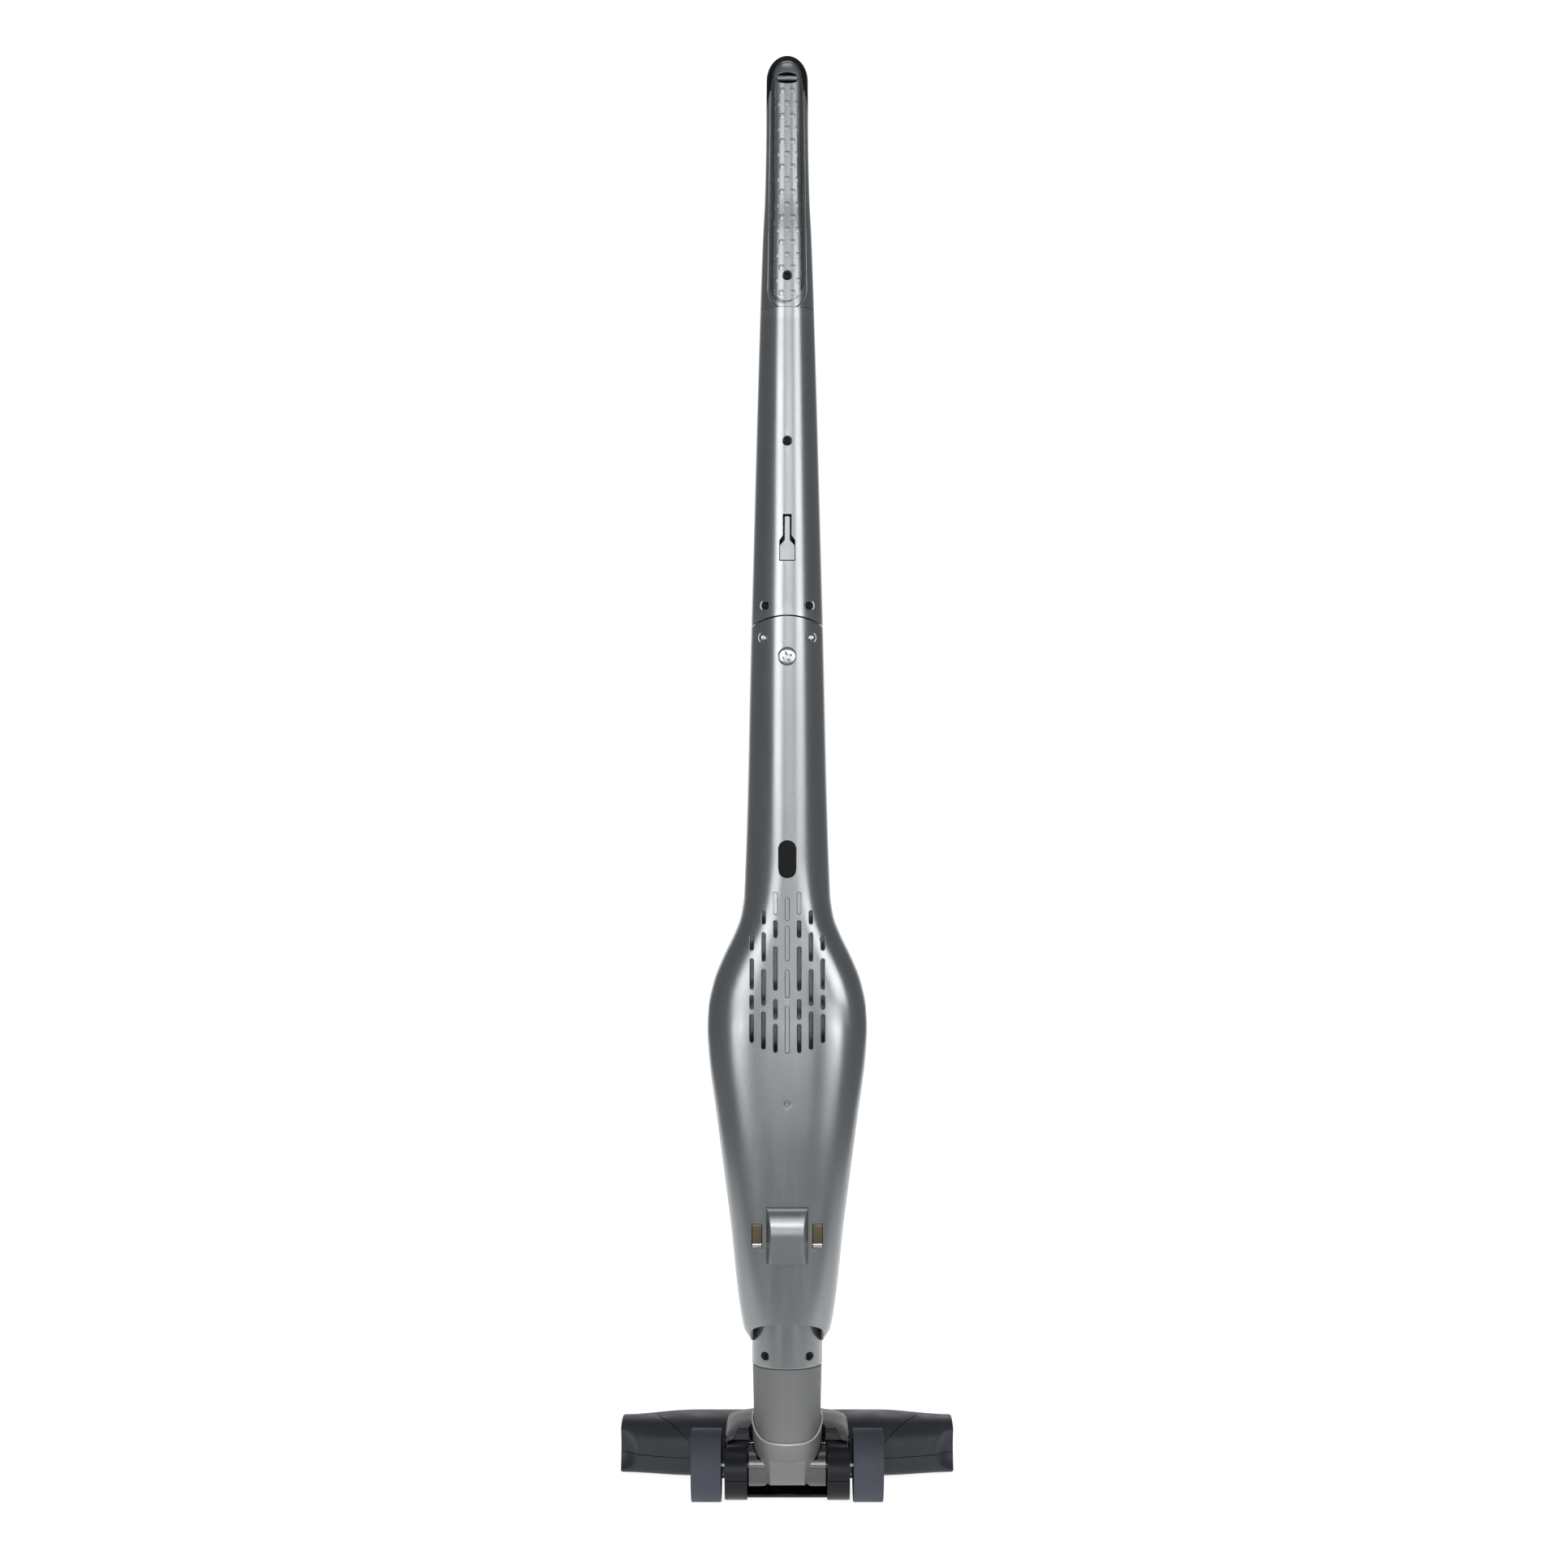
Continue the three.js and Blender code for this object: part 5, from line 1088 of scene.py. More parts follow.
def add_knuckle():
    drum = edged_rod("x", -DRUM_HALF_LENGTH, DRUM_HALF_LENGTH, AXLE, DRUM_RADIUS, 0.8, 96)
    ends = [rod("x", *sorted((side * 24.8, side * 40)), AXLE, AXLE_BORE) for side in (1, -1)]
    port = block((-13, -30, 18.5), (13, 6, 37))
    under = [(-20.5, 8), (20.5, 8), (20.5, 11.4), (WEB_LOW_HALF, WEB_LOW_Z), (-WEB_LOW_HALF, WEB_LOW_Z),
             (-20.5, 11.4)]
    room = rod("z", COLLAR_LOW_Z - GAP, 60, (0, 0), 26.9 + GAP, sides=128)
    drum = cut(drum, *ends, port, prism("y", under, -DEEP, DEEP), room)
    place(drum, "knuckle_drum_fine", "knuckle", ["knuckle_drum"], DRUM)

    foot = [(r, COLLAR_LOW_Z + w) for r, w in ((23.4, 0.0), (24.5, 0.35), (25.2, 1.1), (25.5, 2.0))]
    cup = cut(turned("z", foot + [(26.6, 48), (26.9, 60), (27.2, 76)], (0, 0), 128), above_rim())
    # The bead's pale colour is a painted highlight standing in for the light its bevelled top catches.
    place(rim_lip(), "collar_rim_fine", "knuckle", ["swivel_collar"], PAINTED_RIM_HIGHLIGHT)
    web_rings = []
    for i in range(9):
        t = i / 8
        z = lerp(WEB_LOW_Z, COLLAR_LOW_Z + 1, t)
        half = lerp(WEB_LOW_HALF, 25, t)
        depth = lerp(18.6, 20.5, t)
        shoulder = depth - lerp(4, 9, t)
        right = [(half, -depth + 6), (half, shoulder), (WEB_FACE_HALF, depth)]
        outline = right + [(-x, y) for x, y in reversed(right)]
        web_rings.append([(x, y, z) for x, y in rounded(outline, 0.9)])
    web = loft(web_rings)
    bore = NECK_RADIUS + GAP
    socket = turned("z", [(23.9, 45.2), (23.9, 50), (bore, 50), (bore, 90)], (0, 0), 128)
    made = union(cup, cut(web, rod("x", -DEEP, DEEP, AXLE, DRUM_RADIUS + GAP, sides=96)))
    made = cut(made, socket, rod("z", 0, 60, (0, 0), DUCT_RADIUS - 4, sides=64))
    made = soften(made, 0.35, 2, 50)
    place(made, "swivel_collar_fine", "knuckle", ["swivel_collar"], SATIN, sharp=24)


# ---- floor head --------------------------------------------------------------------------------------
NOZZLE_HALF_WIDTH, NOZZLE_LOW_Z, NOZZLE_SEAM_Z = 134.0, 2.6, 18.6
NOZZLE_STRAIGHT_X = 74.0  # the nozzle narrows beyond it
NOZZLE_TOP_POWER, NOZZLE_BASE_POWER = 0.78, 0.3  # a round top on a square base
SCOOP_CENTRE, SCOOP_RADII, SCOOP_TILT, SCOOP_LIP = (138.0, -54.0, 23.0), (17.0, 26.0, 25.0), 0.35, 0.14
COVER_CENTRE_X, COVER_REACH_X, COVER_BASE_Z, COVER_RISE_Z = 105.0, 33.0, 12.0, 33.0
BRUSH_Y, BRUSH_Z, BRISTLE_RADIUS, BRUSH_CORE_RADIUS = -104.0, 19.5, 15.0, 8.0
GLIDE_HALF, GLIDE_FRONT_Y, GLIDE_REAR_Y = 60.0, -78.0, -68.0
MOUTH_HALF = 112.0


def scooped(point):
    """Moves a point out of the tilted ellipsoid that hollows the nozzle's rear corners, with a soft lip."""
    x, y, z = point
    side = math.copysign(1, x)
    local = Vector((abs(x) - SCOOP_CENTRE[0], y - SCOOP_CENTRE[1], z - SCOOP_CENTRE[2]))
    turn = Matrix.Rotation(SCOOP_TILT, 3, "Z")
    turned_back = turn @ local
    unit = Vector([a / r for a, r in zip(turned_back, SCOOP_RADII)])
    reach = unit.length
    if reach > 1 + SCOOP_LIP or reach < 1e-6:
        return point
    wanted = 1 if reach < 1 - SCOOP_LIP else reach + (1 + SCOOP_LIP - reach) ** 2 / (4 * SCOOP_LIP)
    moved = turn.inverted() @ Vector([a * r for a, r in zip(unit * (wanted / reach), SCOOP_RADII)])
    return (side * (moved.x + SCOOP_CENTRE[0]), moved.y + SCOOP_CENTRE[1], moved.z + SCOOP_CENTRE[2])


def nozzle_ring(x, inset, count):
    t = smooth((abs(x) - NOZZLE_STRAIGHT_X) / (NOZZLE_HALF_WIDTH - NOZZLE_STRAIGHT_X))
    front, rear = lerp(-130, -122, t) + inset, lerp(-57, -70, t) - inset
    top, low = lerp(47, 43.5, t) - inset, NOZZLE_LOW_Z + inset

    def point(c, s):
        power = NOZZLE_TOP_POWER if s > 0 else NOZZLE_BASE_POWER
        y = (front + rear) / 2 + (rear - front) / 2 * signed_power(c, power)
        return (y, (top + low) / 2 + (top - low) / 2 * signed_power(s, power))

    return [(x, y, z) for y, z in evenly(swept(point, count), count + 1)[:-1]]


def nozzle(reach, inset, count=96, edge=2.0, step=2.5, scoops=True):
    """The nozzle's whole form. Its ends are rounded over and filled by shrinking rings."""
    straight = spread(-(reach - edge), reach - edge, step)
    rings = [nozzle_ring(x, inset, count) for x in straight]
    shares = [0.9, 0.8, 0.7, 0.6, 0.5, 0.4, 0.3, 0.2, 0.1]

    def end(side):
        made = []
        base = nozzle_ring(side * (reach - edge), inset, count)
        middle = (sum(p[1] for p in base) / count, sum(p[2] for p in base) / count)
        for a in (0.4, 0.8, 1.2, math.pi / 2):
            inward = edge * (1 - math.cos(a))
            x = side * (reach - edge + edge * math.sin(a))
            made.append([shrunk(x, p, middle, inward) for p in base])
        x = side * reach
        rim = made[-1]
        for share in shares:
            made.append([(x, lerp(middle[0], p[1], share), lerp(middle[1], p[2], share)) for p in rim])
        return made

    rings = list(reversed(end(-1))) + rings + end(1)
    if scoops:
        rings = [[scooped(p) for p in ring] for ring in rings]
    return loft(rings)


def shrunk(x, point, middle, inward):
    away = Vector((point[1] - middle[0], point[2] - middle[1]))
    reach = away.length
    away = away * ((reach - inward) / reach)
    return (x, middle[0] + away.x, middle[1] + away.y)


def cover_prism(side, gap):
    seam_z = NOZZLE_SEAM_Z + GAP
    seam = arc(COVER_CENTRE_X, COVER_BASE_Z, COVER_REACH_X - gap, COVER_RISE_Z - gap, 90, 180, 40)
    low = (seam_z - COVER_BASE_Z) / (COVER_RISE_Z - gap)
    low_x = COVER_CENTRE_X - (COVER_REACH_X - gap) * math.sqrt(1 - low**2)
    outline = [(FAR, seam_z), (FAR, HEAD_CLEAR_Z), (COVER_CENTRE_X + gap, HEAD_CLEAR_Z)]
    outline += [p for p in seam if p[1] >= seam_z]
    outline.append((low_x, seam_z))
    return prism("y", [(side * x, z) for x, z in outline], -FAR, FAR)


def add_nozzle():
    outer = nozzle(NOZZLE_HALF_WIDTH, 0.0)
    inner = nozzle(NOZZLE_HALF_WIDTH - WALL - 4, WALL, 64, 1.0, 8.0, False)
    scoop_room = together(*[scoop_solid(side) for side in (1, -1)])
    inner = cut(inner, block((-FAR, -76, 0), (FAR, FAR, 6)), scoop_room)
    brush_space = rod("x", -117, 117, (BRUSH_Y, BRUSH_Z), BRISTLE_RADIUS + 2.5, sides=64)
    duct_way = block((-20.4, -90, 11.6), (20.4, 0, 34.9))
    shell = cut(outer, inner, brush_space, duct_way)
    corners = [(-MOUTH_HALF, -121.4), (MOUTH_HALF, -121.4), (MOUTH_HALF, -82), (-MOUTH_HALF, -82)]
    mouth = prism("z", rounded(corners, 4), 0, 30)
    glide_way = block((-GLIDE_HALF - 0.4, GLIDE_FRONT_Y - 0.4, 0), (GLIDE_HALF + 0.4, GLIDE_REAR_Y + 0.4, 6))
    lower = soften(cut(common(copy_of(shell), below_level(NOZZLE_SEAM_Z)), mouth, glide_way), 0.35, 2, 50)
    place(lower, "nozzle_lower_fine", "floor_head", ["nozzle_lower_shell"], SLATE)

    upper = common(shell, above_level(NOZZLE_SEAM_Z + SEAM))
    covers = [cover_prism(side, -SEAM / 2) for side in (1, -1)]
    seat = block((-48.9, -74, 0), (48.9, FAR, HEAD_CLEAR_Z))
    top = soften(cut(copy_of(upper), *covers, seat), 0.35, 2, 50)
    place(top, "nozzle_upper_fine", "floor_head", ["nozzle_upper_shell"], SLATE)
    for label, side in SIDES:
        cover = soften(common(copy_of(upper), cover_prism(side, SEAM / 2)), 0.35, 2, 50)
        name = f"nozzle_end_cover_{label}"
        place(cover, name + "_fine", "floor_head", [name], SLATE)
    drop(upper)
    strip = soften(block((-GLIDE_HALF, GLIDE_FRONT_Y, 0), (GLIDE_HALF, GLIDE_REAR_Y, 5.8)), 0.8, 3)
    grooves = []
    for i in range(5):
        y = GLIDE_FRONT_Y + 2 + 1.5 * i
        grooves.append(prism("x", [(y - 0.6, -1), (y + 0.6, -1), (y, 0.7)], -70, 70))
    strip = cut(strip, together(*grooves))
    place(strip, "glide_strip_fine", "floor_head", ["glide_strip"], RUBBER)


def scoop_solid(side):
    """The scoop's ellipsoid grown by a wall, to keep the nozzle's hollow off it."""
    rings = []
    radii = [r + WALL for r in SCOOP_RADII]
    turn = Matrix.Rotation(-SCOOP_TILT, 3, "Z")
    for i in range(1, 24):
        a = math.pi * i / 24
        ring = []
        for b in round_angles(32):
            p = turn @ Vector((radii[0] * math.sin(a) * math.cos(b), radii[1] * math.sin(a) * math.sin(b),
                               radii[2] * math.cos(a)))
            ring.append((side * (p.x + SCOOP_CENTRE[0]), p.y + SCOOP_CENTRE[1], p.z + SCOOP_CENTRE[2]))
        rings.append(ring)
    return loft(rings)


TUFT_ROWS, TUFTS_PER_ROW = 4, 46


def add_brush():
    axis = (BRUSH_Y, BRUSH_Z)
    core = union(edged_rod("x", -107, 95, axis, BRUSH_CORE_RADIUS, 0.6), rod("x", -115, 115, axis, AXLE_BORE))
    place(core, "brush_core_fine", "brush_roll", ["brush_core"], STEEL)
    random.seed(7)
    tufts = []
    for row in range(TUFT_ROWS):
        for i in range(TUFTS_PER_ROW):
            t = i / (TUFTS_PER_ROW - 1)
            x = lerp(-104, 92, t)
            angle = row * math.pi / 2 + math.pi * t
            tufts.append(tuft(x, angle + random.uniform(-0.03, 0.03), random.uniform(-0.5, 0)))
    place(together(*tufts), "bristle_rows_fine", "brush_roll", ["bristle_rows"], BRISTLE)


def tuft(x, angle, trim):
    """A bundle of bristles that flares from its hole in the core."""
    away = Vector((0, math.cos(angle), math.sin(angle)))
    across = Vector((0, -math.sin(angle), math.cos(angle)))
    rings = []
    flare = [(BRUSH_CORE_RADIUS - 0.4, 0.8, 0.7), (11.5, 1.3, 0.9), (BRISTLE_RADIUS + trim, 2.0, 1.3)]
    for radius, spread_x, spread_a in flare:
        ring = []
        for a in round_angles(9):
            wave = 1 + 0.12 * math.cos(3 * a)
            p = away * radius + across * spread_a * wave * math.sin(a)
            ring.append((x + spread_x * wave * math.cos(a), BRUSH_Y + p.y, BRUSH_Z + p.z))
        rings.append(ring)
    return loft(rings)


# ---- cradle, shroud and wheels -----------------------------------------------------------------------
EAR_INNER_X, EAR_OUTER_X, EAR_LOW_Z, EAR_HIGH_Z, EAR_REAR_Y, EAR_FRONT_Y, EAR_SEAM_Z = (
    31.0, 48.3, 2.0, 46.0, 24.0, -55.0, 21.0)


def ear_window(side, gap):
    """The trapezoid above an ear where its cap rises behind the shroud's rear edge."""
    inner, low, high = EAR_INNER_X - 1, EAR_HIGH_Z - 1, EAR_HIGH_Z + 8
    corners = [(inner, low), (EAR_OUTER_X - 3.4, low), (EAR_OUTER_X - 10.4, high), (inner, high)]
    return [(side * (x - gap), z - gap) for x, z in corners]


def ear_section(side):
    """Seen from behind, an ear with a crowned top and a rounded lower outer corner."""
    inner, outer = EAR_INNER_X, EAR_OUTER_X
    outline = [(inner, EAR_LOW_Z), (outer - 3.4, EAR_LOW_Z)]
    outline += arc(outer - 3.4, EAR_LOW_Z + 3.4, 3.4, 3.4, -80, 0, 8)
    outline += arc(outer - 2.4, EAR_HIGH_Z - 3.6, 2.4, 2.2, 0, 70, 8)
    outline += [(outer - 6, EAR_HIGH_Z - 0.6), (inner + 4, EAR_HIGH_Z), (inner, EAR_HIGH_Z)]
    return [(side * x, z) for x, z in outline]


def add_cradle():
    """Two ears joined by a floor bar, their caps, and the tabs that close the shroud's windows."""
    radius = (EAR_HIGH_Z - EAR_LOW_Z) / 2
    outline = [(EAR_FRONT_Y, EAR_LOW_Z)]
    outline += arc(EAR_REAR_Y - radius, EAR_LOW_Z + radius, radius, radius, -90, 90, 40)
    outline += [(EAR_FRONT_Y, EAR_HIGH_Z)]
    base = []
    for label, side in SIDES:
        ear = prism("x", outline, *sorted((side * EAR_INNER_X, side * EAR_OUTER_X)))
        ear = soften(common(ear, prism("y", ear_section(side), -DEEP, 30)), 0.7, 3, 40)
        ear = cut(ear, rod("x", -DEEP, DEEP, AXLE, AXLE_BORE))
        cap = common(copy_of(ear), above_level(EAR_SEAM_Z + SEAM))
        name = f"cradle_cap_{label}"
        place(cap, name + "_fine", "floor_head", [name], BLACK)
        tab = common(prism("y", ear_window(side, 0.2), -28, -4.5), shroud_dome(0.5))
        tab = cut(tab, below_level(EAR_HIGH_Z + GAP))
        place(tab, f"cradle_tab_{label}_fine", "floor_head", [name], TAB_GREY)
        base.append(common(ear, below_level(EAR_SEAM_Z)))
    floor = []
    for i in range(33):
        x = lerp(-EAR_INNER_X - 1, EAR_INNER_X + 1, i / 32)
        lift = 1.1 * smooth(1 - abs(x) / 22)
        section = [(EAR_FRONT_Y, 2.4), (-1.0, 2.4), (0, 2.9), (0, 4.2 + lift), (-0.6, 5.0 + lift * 0.4),
                   (-3, 5.4), (EAR_FRONT_Y, 5.4)]
        floor.append([(x, y, z) for y, z in section])
    made = union(together(*base), loft(floor))
    feet = [rod("y", 20, 30, (side * 39.6, 6.4), 1.6, sides=32) for side in (1, -1)]
    made = cut(made, together(*feet))
    place(made, "cradle_base_fine", "floor_head", ["cradle_base"], BLACK)


# The shroud's depth, height and half-width.
SHROUD_STATIONS = [(-86, 49, 44), (-78, 54.0, 47), (-64, 58.0, 48.3), (-44, 60, 48.6), (-26, 59, 48.6),
                   (-12, 56, 48.6), (-2, 51.5, 48.4)]
SHROUD_BASE_Z = EAR_HIGH_Z + 0.4


SHROUD_SIDE_POWER, SHROUD_RISE_POWER = 0.65, 0.8


def shroud_dome(inset, lower=0.0, step=2.0):
    """The shroud's outside, drawn in by an inset and lowered."""
    rings = []
    for y in spread(SHROUD_STATIONS[0][0], SHROUD_STATIONS[-1][0], step):
        height = through([(at, h) for at, h, _ in SHROUD_STATIONS], y) - inset
        half = through([(at, w) for at, _, w in SHROUD_STATIONS], y) - inset
        ring = []
        for i in range(65):
            angle = math.pi * i / 64
            c = math.cos(angle)
            rise = (height - SHROUD_BASE_Z) * math.sin(angle) ** SHROUD_RISE_POWER
            ring.append((half * signed_power(c, SHROUD_SIDE_POWER), SHROUD_BASE_Z + rise))
        rings.append([(x, y, z - lower) for x, z in evenly(ring, 65)])
    return loft(rings)


def add_shroud():
    core = common(shroud_dome(WALL, 0.9), block((-FAR, -83, 0), (FAR, -6, HEAD_CLEAR_Z)))
    reach = EAR_INNER_X + 0.4
    notch = [(reach, 20), (-reach, 20)] + arc(0, -2, reach, reach, 180, 360, 48)
    made = soften(cut(shroud_dome(0.0), prism("z", notch, 0, HEAD_CLEAR_Z)), 0.8, 3, 50)
    made = cut(made, core)
    middle = block((-60, -FAR, 0), (60, -74, HEAD_CLEAR_Z))
    room = common(nozzle(NOZZLE_HALF_WIDTH, -GAP, scoops=False), middle)
    windows = [prism("y", ear_window(side, 0.0), -30, 5) for side in (1, -1)]
    made = cut(made, room, *windows)
    place(made, "neck_shroud_fine", "floor_head", ["neck_shroud"], SHROUD)


WHEEL_INNER_X, WHEEL_OUTER_X, WHEEL_RADIUS = 51.0, 74.3, 28.0
SPOKE_INNER, SPOKE_OUTER, SPOKE_HALF = 8.5, 19.0, 0.8


def add_wheels():
    a, b, r = WHEEL_INNER_X, WHEEL_OUTER_X, WHEEL_RADIUS
    inner_face = [(AXLE_BORE, a + 1.2), (6.0, a + 1.2), (6.6, a + 1.8), (23.5, a + 1.8), (24.2, a + 1.2),
                  (24.6, a + 0.3), (25.2, a)]
    rim = [(r - 0.9, 0.0), (r - 0.4, 0.12), (r - 0.12, 0.4), (r, 0.9)]
    tread = [(radius, a + w) for radius, w in rim] + [(r, (a + b) / 2)]
    tread += [(radius, b - w) for radius, w in reversed(rim)]
    dish = [(21.6, b), (21.0, b - 0.3), (20.0, b - 2.6), (19.4, b - 3), (7.4, b - 3), (7.0, b - 2.7)]
    hub = [(7.0, b - 1.3), (6.7, b - 1.0), (4.9, b - 1.0), (AXLE_BORE, b - 1.0)]
    profile = inner_face + tread + dish + hub
    turns = round_angles(128)
    for label, side in SIDES:
        rings = []
        for radius, x in profile:
            rings.append([(x, radius * math.cos(t), PIVOT_Z + radius * math.sin(t)) for t in turns])
        wheel = mirrored(ring_solid(rings), side)
        wheel = union(wheel, *[mirrored(spoke(angle), side) for angle in round_angles(6)])
        place(wheel, f"wheel_{label}_fine", f"{label}_wheel", [f"wheel_{label}"], WHEEL)
        pin = [(2.2, 25.5), (2.5, 25.8), (2.5, EAR_OUTER_X - 0.3), (1.3, EAR_OUTER_X), (1.3, a + 1.0)]
        pin += [(2.5, a + 1.3), (2.5, b - 0.6)]
        pin += [(4.0, b - 0.6), (4.2, b - 0.4), (4.2, b - 0.25), (3.9, b), (0.3, b)]
        made = mirrored(turned("x", pin, AXLE, 48), side)
        place(made, f"axle_pin_{label}_fine", "floor_head", [f"axle_pin_{label}"], STEEL)


def ring_solid(rings):
    """A solid of closed rings joined in a loop, such as a wheel with a bore."""
    count = len(rings[0])
    points = [p for ring in rings for p in ring]
    faces = []
    for r in range(len(rings)):
        after = (r + 1) % len(rings)
        for i in range(count):
            k = (i + 1) % count
            faces.append((r * count + i, r * count + k, after * count + k, after * count + i))
    return solid(points, faces)


def spoke(angle):
    """A rib in the wheel's dish."""
    outer_x = WHEEL_OUTER_X - 2.0
    rib = block((outer_x - 1.2, SPOKE_INNER, -SPOKE_HALF), (outer_x, SPOKE_OUTER, SPOKE_HALF))
    rib.data.transform(Matrix.Translation((0, 0, PIVOT_Z)) @ Matrix.Rotation(angle, 4, "X"))
    return rib


# ---- hand unit and dust cup --------------------------------------------------------------------------
def add_hand_unit():
    """The motor case over the cup, and its looped grip."""
    made = soften(hand_form(CUP_TOP_Z + GAP, HAND_UNIT[-1][0], 0.0, 3.0), 0.8, 3, 60)
    made = cut(
        made,
        hand_form(296, 397, -WALL, 8.0),
        rod("z", 280, 300, (0, HAND_AXIS_Y), 26, sides=64),
        rod("y", -FAR, -60, (0, CUP_BUTTON_Z), 5.3),
    )
    place(made, "hand_unit_case_fine", "hand_unit", ["hand_unit_case"], SATIN)

    loop = [(-70, 406.4), (-74, 425), (-72, 448)] + arc(-52, 452, 20, 20, 170, 90, 12)
    loop += arc(-34, 456, 16, 16, 80, 0, 12) + [(-17, 430), (-17, 406.4)]
    gap = [(-58, 412), (-58, 446)] + arc(-48, 450, 10, 10, 170, 90, 10) + arc(-35, 450, 9, 9, 80, 0, 10)
    gap += [(-25, 430), (-25, 412)]
    grip = soften(cut(prism("x", loop, -12, 12), prism("x", gap, -14, 14)), 3.2, 5, 50)
    place(grip, "hand_unit_grip_fine", "hand_unit", ["hand_unit_grip"], BLACK)


FILTER_FOLDS, FILTER_INNER, FILTER_OUTER = 28, 9.2, 11.1


def add_cup():
    outer = soften(hand_form(CUP_LOW_Z + GAP, CUP_TOP_Z, 0.0, 3.0), 0.8, 3, 60)
    made = cut(outer, hand_form(CUP_LOW_Z - 6, CUP_TOP_Z + 6, -2.0, 4.0))
    place(made, "dust_cup_fine", "cup", ["dust_cup"], CLEAR)
    foot = soften(hand_form(HAND_UNIT[0][0], CUP_LOW_Z, 0.0, 3.0), 1.0, 3, 60)
    foot = cut(foot, soften(block((-9, -35, 150), (9, -20, CUP_LOW_Z + 5)), 1.5, 3))
    place(foot, "cup_nozzle_fine", "cup", ["cup_nozzle"], BLACK)

    star = []
    for i in range(FILTER_FOLDS * 2):
        radius = FILTER_INNER if i % 2 else FILTER_OUTER
        angle = math.pi * i / FILTER_FOLDS
        star.append((radius * math.cos(angle), HAND_AXIS_Y + radius * math.sin(angle)))
    place(prism("z", rounded(star, 0.4, 2), 226, 288), "pleated_filter_fine", "cup", ["pleated_filter"],
          PAPER, 60)

    face = hand_front_y(CUP_BUTTON_Z) - 2
    profile = [(0.4, face + 0.45), (2.6, face + 0.35), (4.2, face), (4.7, face + 0.15), (5.0, face + 0.6)]
    profile.append((5.0, face + 7))
    button = turned("y", profile, (0, CUP_BUTTON_Z), 48)
    place(button, "cup_button_fine", "cup_button", ["cup_release_button"], SATIN)


# ---- the CAD pieces that stay, inside the shells -----------------------------------------------------
KEPT_EDGE = 0.3


def finish_kept_nodes():
    kept = {
        "brush_bearing_left": BLACK, "brush_bearing_right": BLACK, "brush_motor": STEEL, "drive_belt": RUBBER,
        "air_duct": BLACK, "brush_pulley": BLACK, "motor_pulley": STEEL, "suction_motor": STEEL,
        "battery_pack": WRAP, "fan_impeller": BLACK, "filter_frame": BLACK,
    }
    for name, material in kept.items():
        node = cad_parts[name]
        node.data.materials.clear()
        node.data.materials.append(material)
        add_bevel(node, KEPT_EDGE * MM, 2, 40)


add_body_rear()
add_hook()
add_contacts()
add_body_front()
add_release_button()
add_oval_plug()
add_neck()
add_handle_tube()
add_clip()
add_grip()
add_slider()
for number, (label, at) in enumerate(NECK_SCREWS.items()):
    add_screw(f"neck_screw_{label}", at, "stick", BLACK, 0.3 + number, spigot_surface_y)
for number, (label, at) in enumerate(BODY_SCREWS.items()):
    add_screw(f"body_screw_{label}", at, "stick", STEEL, 0.9 + number)
for number, (label, at) in enumerate(HANDLE_SCREWS.items()):
    add_screw(f"handle_screw_{label}", at, "stick", BLACK, 0.5 + number)
add_screw("handle_mid_screw", MID_SCREW, "stick", BLACK, 1.1)
add_screw("grip_screw", GRIP_SCREW, "stick", BLACK, 0.2)
add_screw("lock_bolt", LOCK_BOLT, "stick", STEEL, 1.2)
add_knuckle()
add_nozzle()
add_brush()
add_cradle()
add_shroud()
add_wheels()
add_hand_unit()
add_cup()
finish_kept_nodes()


# ---- floor, light and camera -------------------------------------------------------------------------
AXLE_Y = ORIGIN_Y * MM  # metres from here on
MIDDLE = Vector((0.0, AXLE_Y, 0.5))
SOFTBOX_DISTANCE = 2.5
SOFTBOX_SPREAD = math.radians(64)
SOFTBOX_DROP = 0.33  # how far below its own height an upper softbox aims
# Softboxes round the camera: name, turn from the camera's side, width, low and high edge, power per area.
SOFTBOXES = [
    ("tall_left", 27, 1.2, 0.60, 1.74, 1.9), ("tall_right", -40, 1.15, 0.60, 1.74, 1.75),
    ("tall_middle", -6, 1.4, 0.82, 1.78, 1.1), ("mid_middle", -6, 1.4, 0.58, 0.80, 0.8),
    ("low_left", 26, 0.9, 0.11, 0.36, 3.0), ("low_right", -26, 0.9, 0.11, 0.36, 2.8),
    ("low_middle", 0, 0.5, 0.11, 0.30, 1.6),
]
# A low strip that grazes the floor head, and a weak light overhead.
KICKER_AT, KICKER_AIM, KICKER_SIZE = (0.0, AXLE_Y + 1.5, 0.55), (0.0, AXLE_Y, 0.03), (0.8, 0.12)
KICKER_POWER, KICKER_SPREAD = 0.08, math.radians(30)
TOP_AT, TOP_SIZE, TOP_POWER = (0, AXLE_Y + 0.5, 3.0), 1.5, 8
FLOOR_REACH = 30.0
FLOOR_GLOW = 0.85
GLOW_FADE_Y = (0.22, 0.5)  # from full glow to none, towards the camera
GLOW_FADE_X = (0.66, 0.95)  # and sideways
GLOW_FLARE = -0.33  # the lit patch widens by this share of its distance behind the object
# The room's tone from the back (0) past the sides (0.5) to behind the camera (1.0). The first two are the
# edge of the white wall.
WALL_TONES = [(0.045, (1.05, 1.05, 1.05)), (0.085, (0.25, 0.26, 0.27))]
WORLD_TONES = [
    (0.16, (0.26, 0.27, 0.29)), (0.5, (0.22, 0.235, 0.25)), (0.85, (0.27, 0.275, 0.28)),
    (1.0, (0.30, 0.30, 0.30)),
]


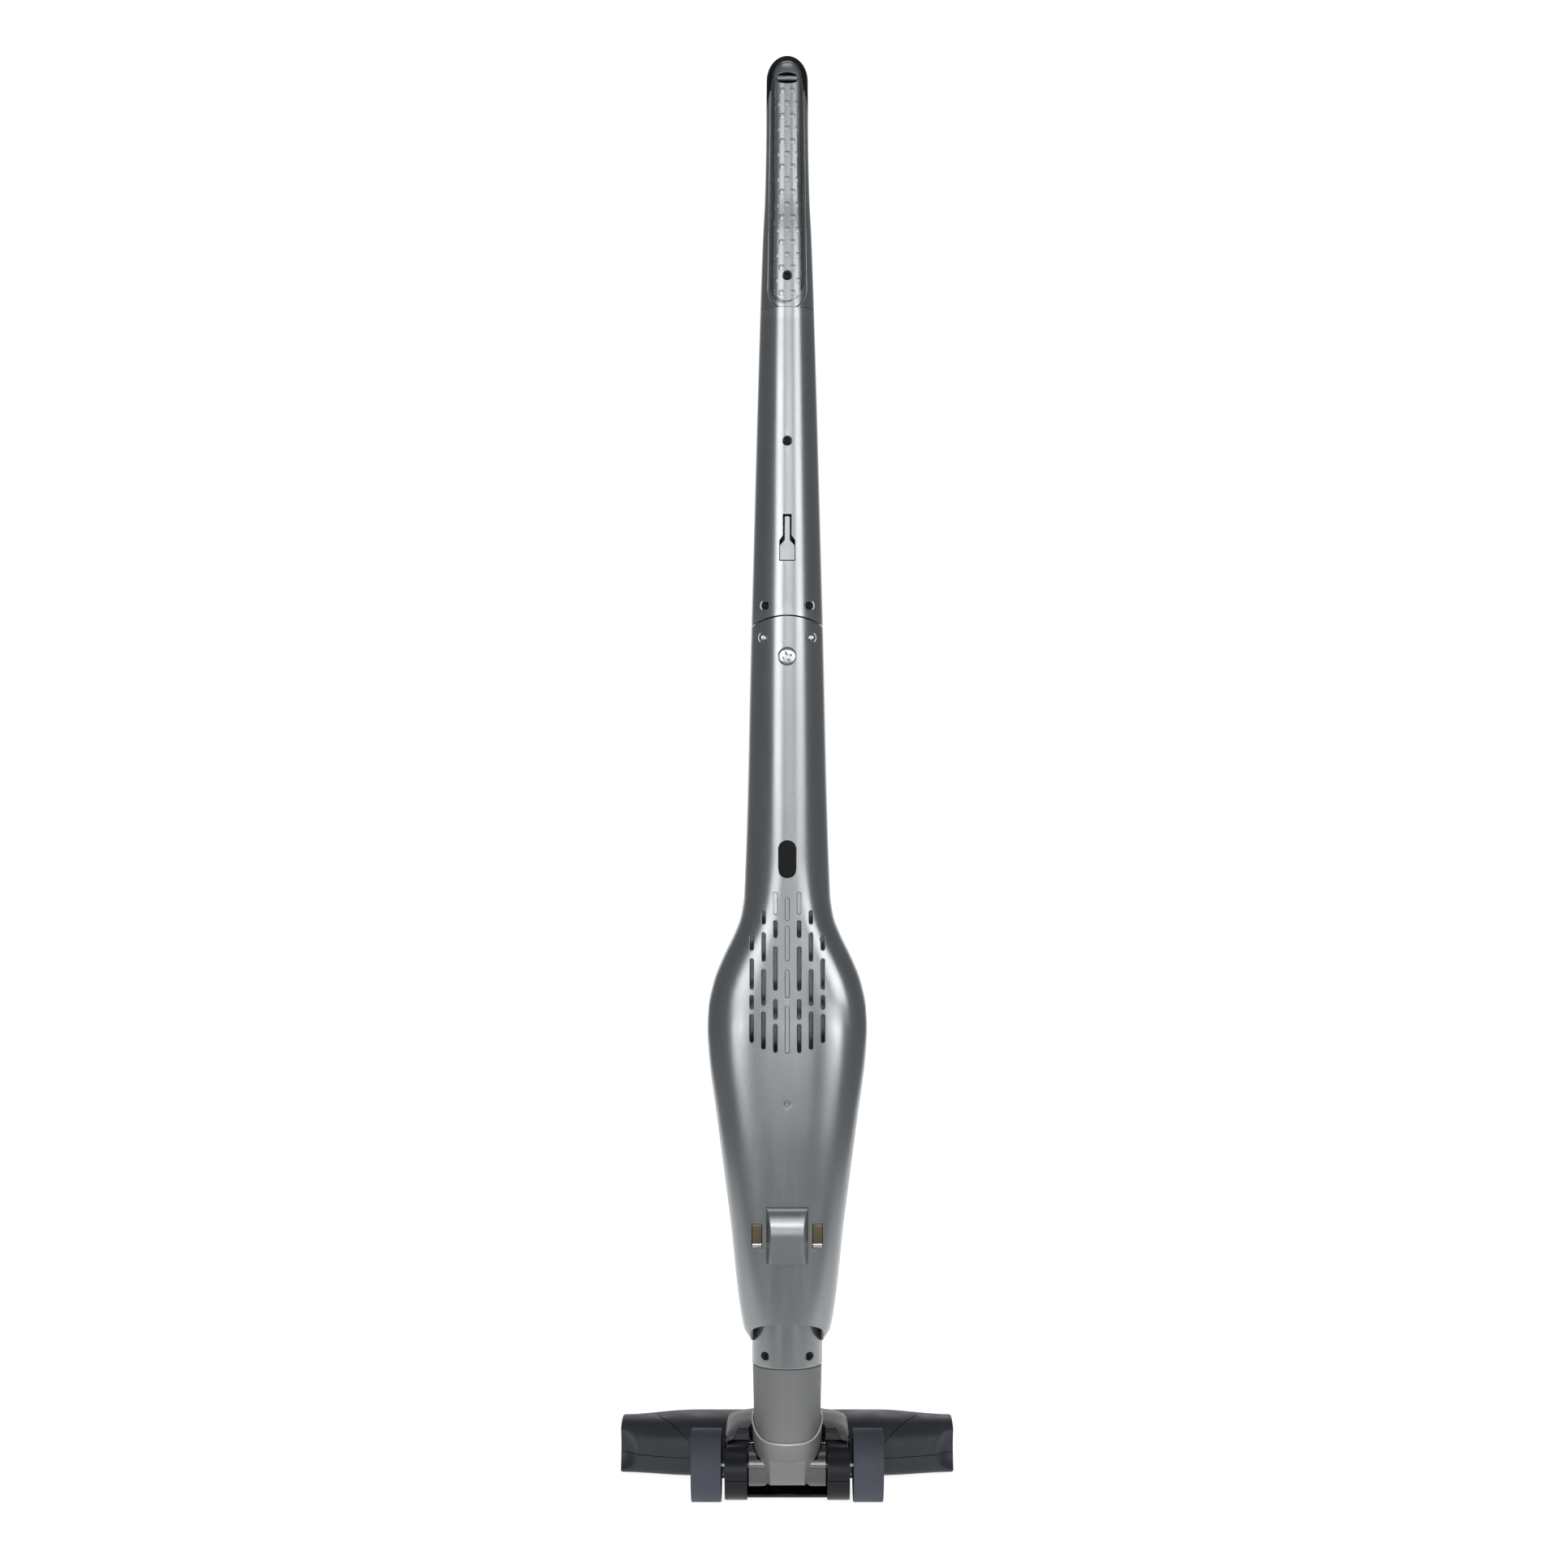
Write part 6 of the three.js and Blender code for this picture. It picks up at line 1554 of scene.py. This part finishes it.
def add_floor():
    """A pale floor, lit from below towards the back so that it meets the white background."""
    mesh = bpy.data.meshes.new("floor")
    corners = [(FLOOR_REACH * x, FLOOR_REACH * y, 0) for x, y in ((-1, -1), (1, -1), (1, 1), (-1, 1))]
    mesh.from_pydata(corners, [], [(0, 1, 2, 3)])
    floor = bpy.data.objects.new("floor", mesh)
    bpy.context.scene.collection.objects.link(floor)
    material, tree, shader, here = nodes_of("pale_floor")
    tone = noise(tree, here, 3.0, 3.0)
    tree.links.new(tinted(tree, tone, (0.78, 0.78, 0.78), (0.82, 0.82, 0.82)), shader.inputs["Base Color"])
    shader.inputs["Roughness"].default_value = 0.8
    parts = tree.nodes.new("ShaderNodeSeparateXYZ")
    tree.links.new(here, parts.inputs["Vector"])
    near = ranged(tree, parts.outputs["Y"], FLOOR_GLOW, 0.0, *GLOW_FADE_Y)
    sideways = maths(tree, "ABSOLUTE", parts.outputs["X"], 0.0)
    aside = maths(tree, "SUBTRACT", sideways, maths(tree, "MULTIPLY", parts.outputs["Y"], GLOW_FLARE))
    glow = maths(tree, "MULTIPLY", near, ranged(tree, aside, 1.0, 0.0, *GLOW_FADE_X))
    tree.links.new(glow, shader.inputs["Emission Strength"])
    shader.inputs["Emission Color"].default_value = (1, 1, 1, 1)
    mesh.materials.append(material)


def add_area_light(name, position, target, width, height, power, spread_angle=math.pi):
    data = bpy.data.lights.new(name, "AREA")
    data.shape = "RECTANGLE"
    data.size, data.size_y = width, height
    data.energy = power
    data.spread = spread_angle
    light = bpy.data.objects.new(name, data)
    bpy.context.scene.collection.objects.link(light)
    light.location = position
    light.rotation_euler = (Vector(target) - Vector(position)).to_track_quat("-Z", "Y").to_euler()
    light.visible_camera = False


def add_world():
    """A white wall of light behind the object, and a dimmer room in front of it and at its sides."""
    world = bpy.data.worlds.new("studio")
    bpy.context.scene.world = world
    world.use_nodes = True
    tree = world.node_tree
    background = tree.nodes["Background"]
    coordinates = tree.nodes.new("ShaderNodeTexCoord")
    parts = tree.nodes.new("ShaderNodeSeparateXYZ")
    tree.links.new(coordinates.outputs["Generated"], parts.inputs["Vector"])
    ramp = tree.nodes.new("ShaderNodeValToRGB")
    stops = ramp.color_ramp.elements
    for stop, (position, colour) in zip(stops, WALL_TONES):
        stop.position = position
        stop.color = (*colour, 1)
    for position, colour in WORLD_TONES:
        stops.new(position).color = (*colour, 1)
    tree.links.new(ranged(tree, parts.outputs["Y"], 0.0, 1.0, -1.0, 1.0), ramp.inputs["Fac"])
    tree.links.new(ramp.outputs["Color"], background.inputs["Color"])


add_area_light("kicker", KICKER_AT, KICKER_AIM, *KICKER_SIZE, KICKER_POWER, KICKER_SPREAD)
for name, turn_deg, width, low, high, strength in SOFTBOXES:
    turn = math.radians(turn_deg)
    spot = MIDDLE + Vector((math.sin(turn), math.cos(turn), 0)) * SOFTBOX_DISTANCE
    middle = (low + high) / 2
    drop_to_aim = SOFTBOX_DROP if middle > MIDDLE.z else 0.0
    aim = (MIDDLE.x, MIDDLE.y, middle - drop_to_aim)
    power = strength * width * (high - low)
    add_area_light(name, (spot.x, spot.y, middle), aim, width, high - low, power, SOFTBOX_SPREAD)
add_area_light("top", TOP_AT, MIDDLE, TOP_SIZE, TOP_SIZE, TOP_POWER)

add_floor()
add_world()

CAMERA_AT = (0.0025, AXLE_Y + 2.1, 0.5575)
CAMERA_LENS, CAMERA_SENSOR = 62, 36
camera_data = bpy.data.cameras.new("camera")
camera_data.lens = CAMERA_LENS
camera_data.sensor_width = CAMERA_SENSOR
camera = bpy.data.objects.new("camera", camera_data)
bpy.context.scene.collection.objects.link(camera)
camera.location = CAMERA_AT
camera.rotation_euler = (math.pi / 2, 0, math.pi)
bpy.context.scene.camera = camera
bpy.context.scene.view_settings.view_transform = "Standard"
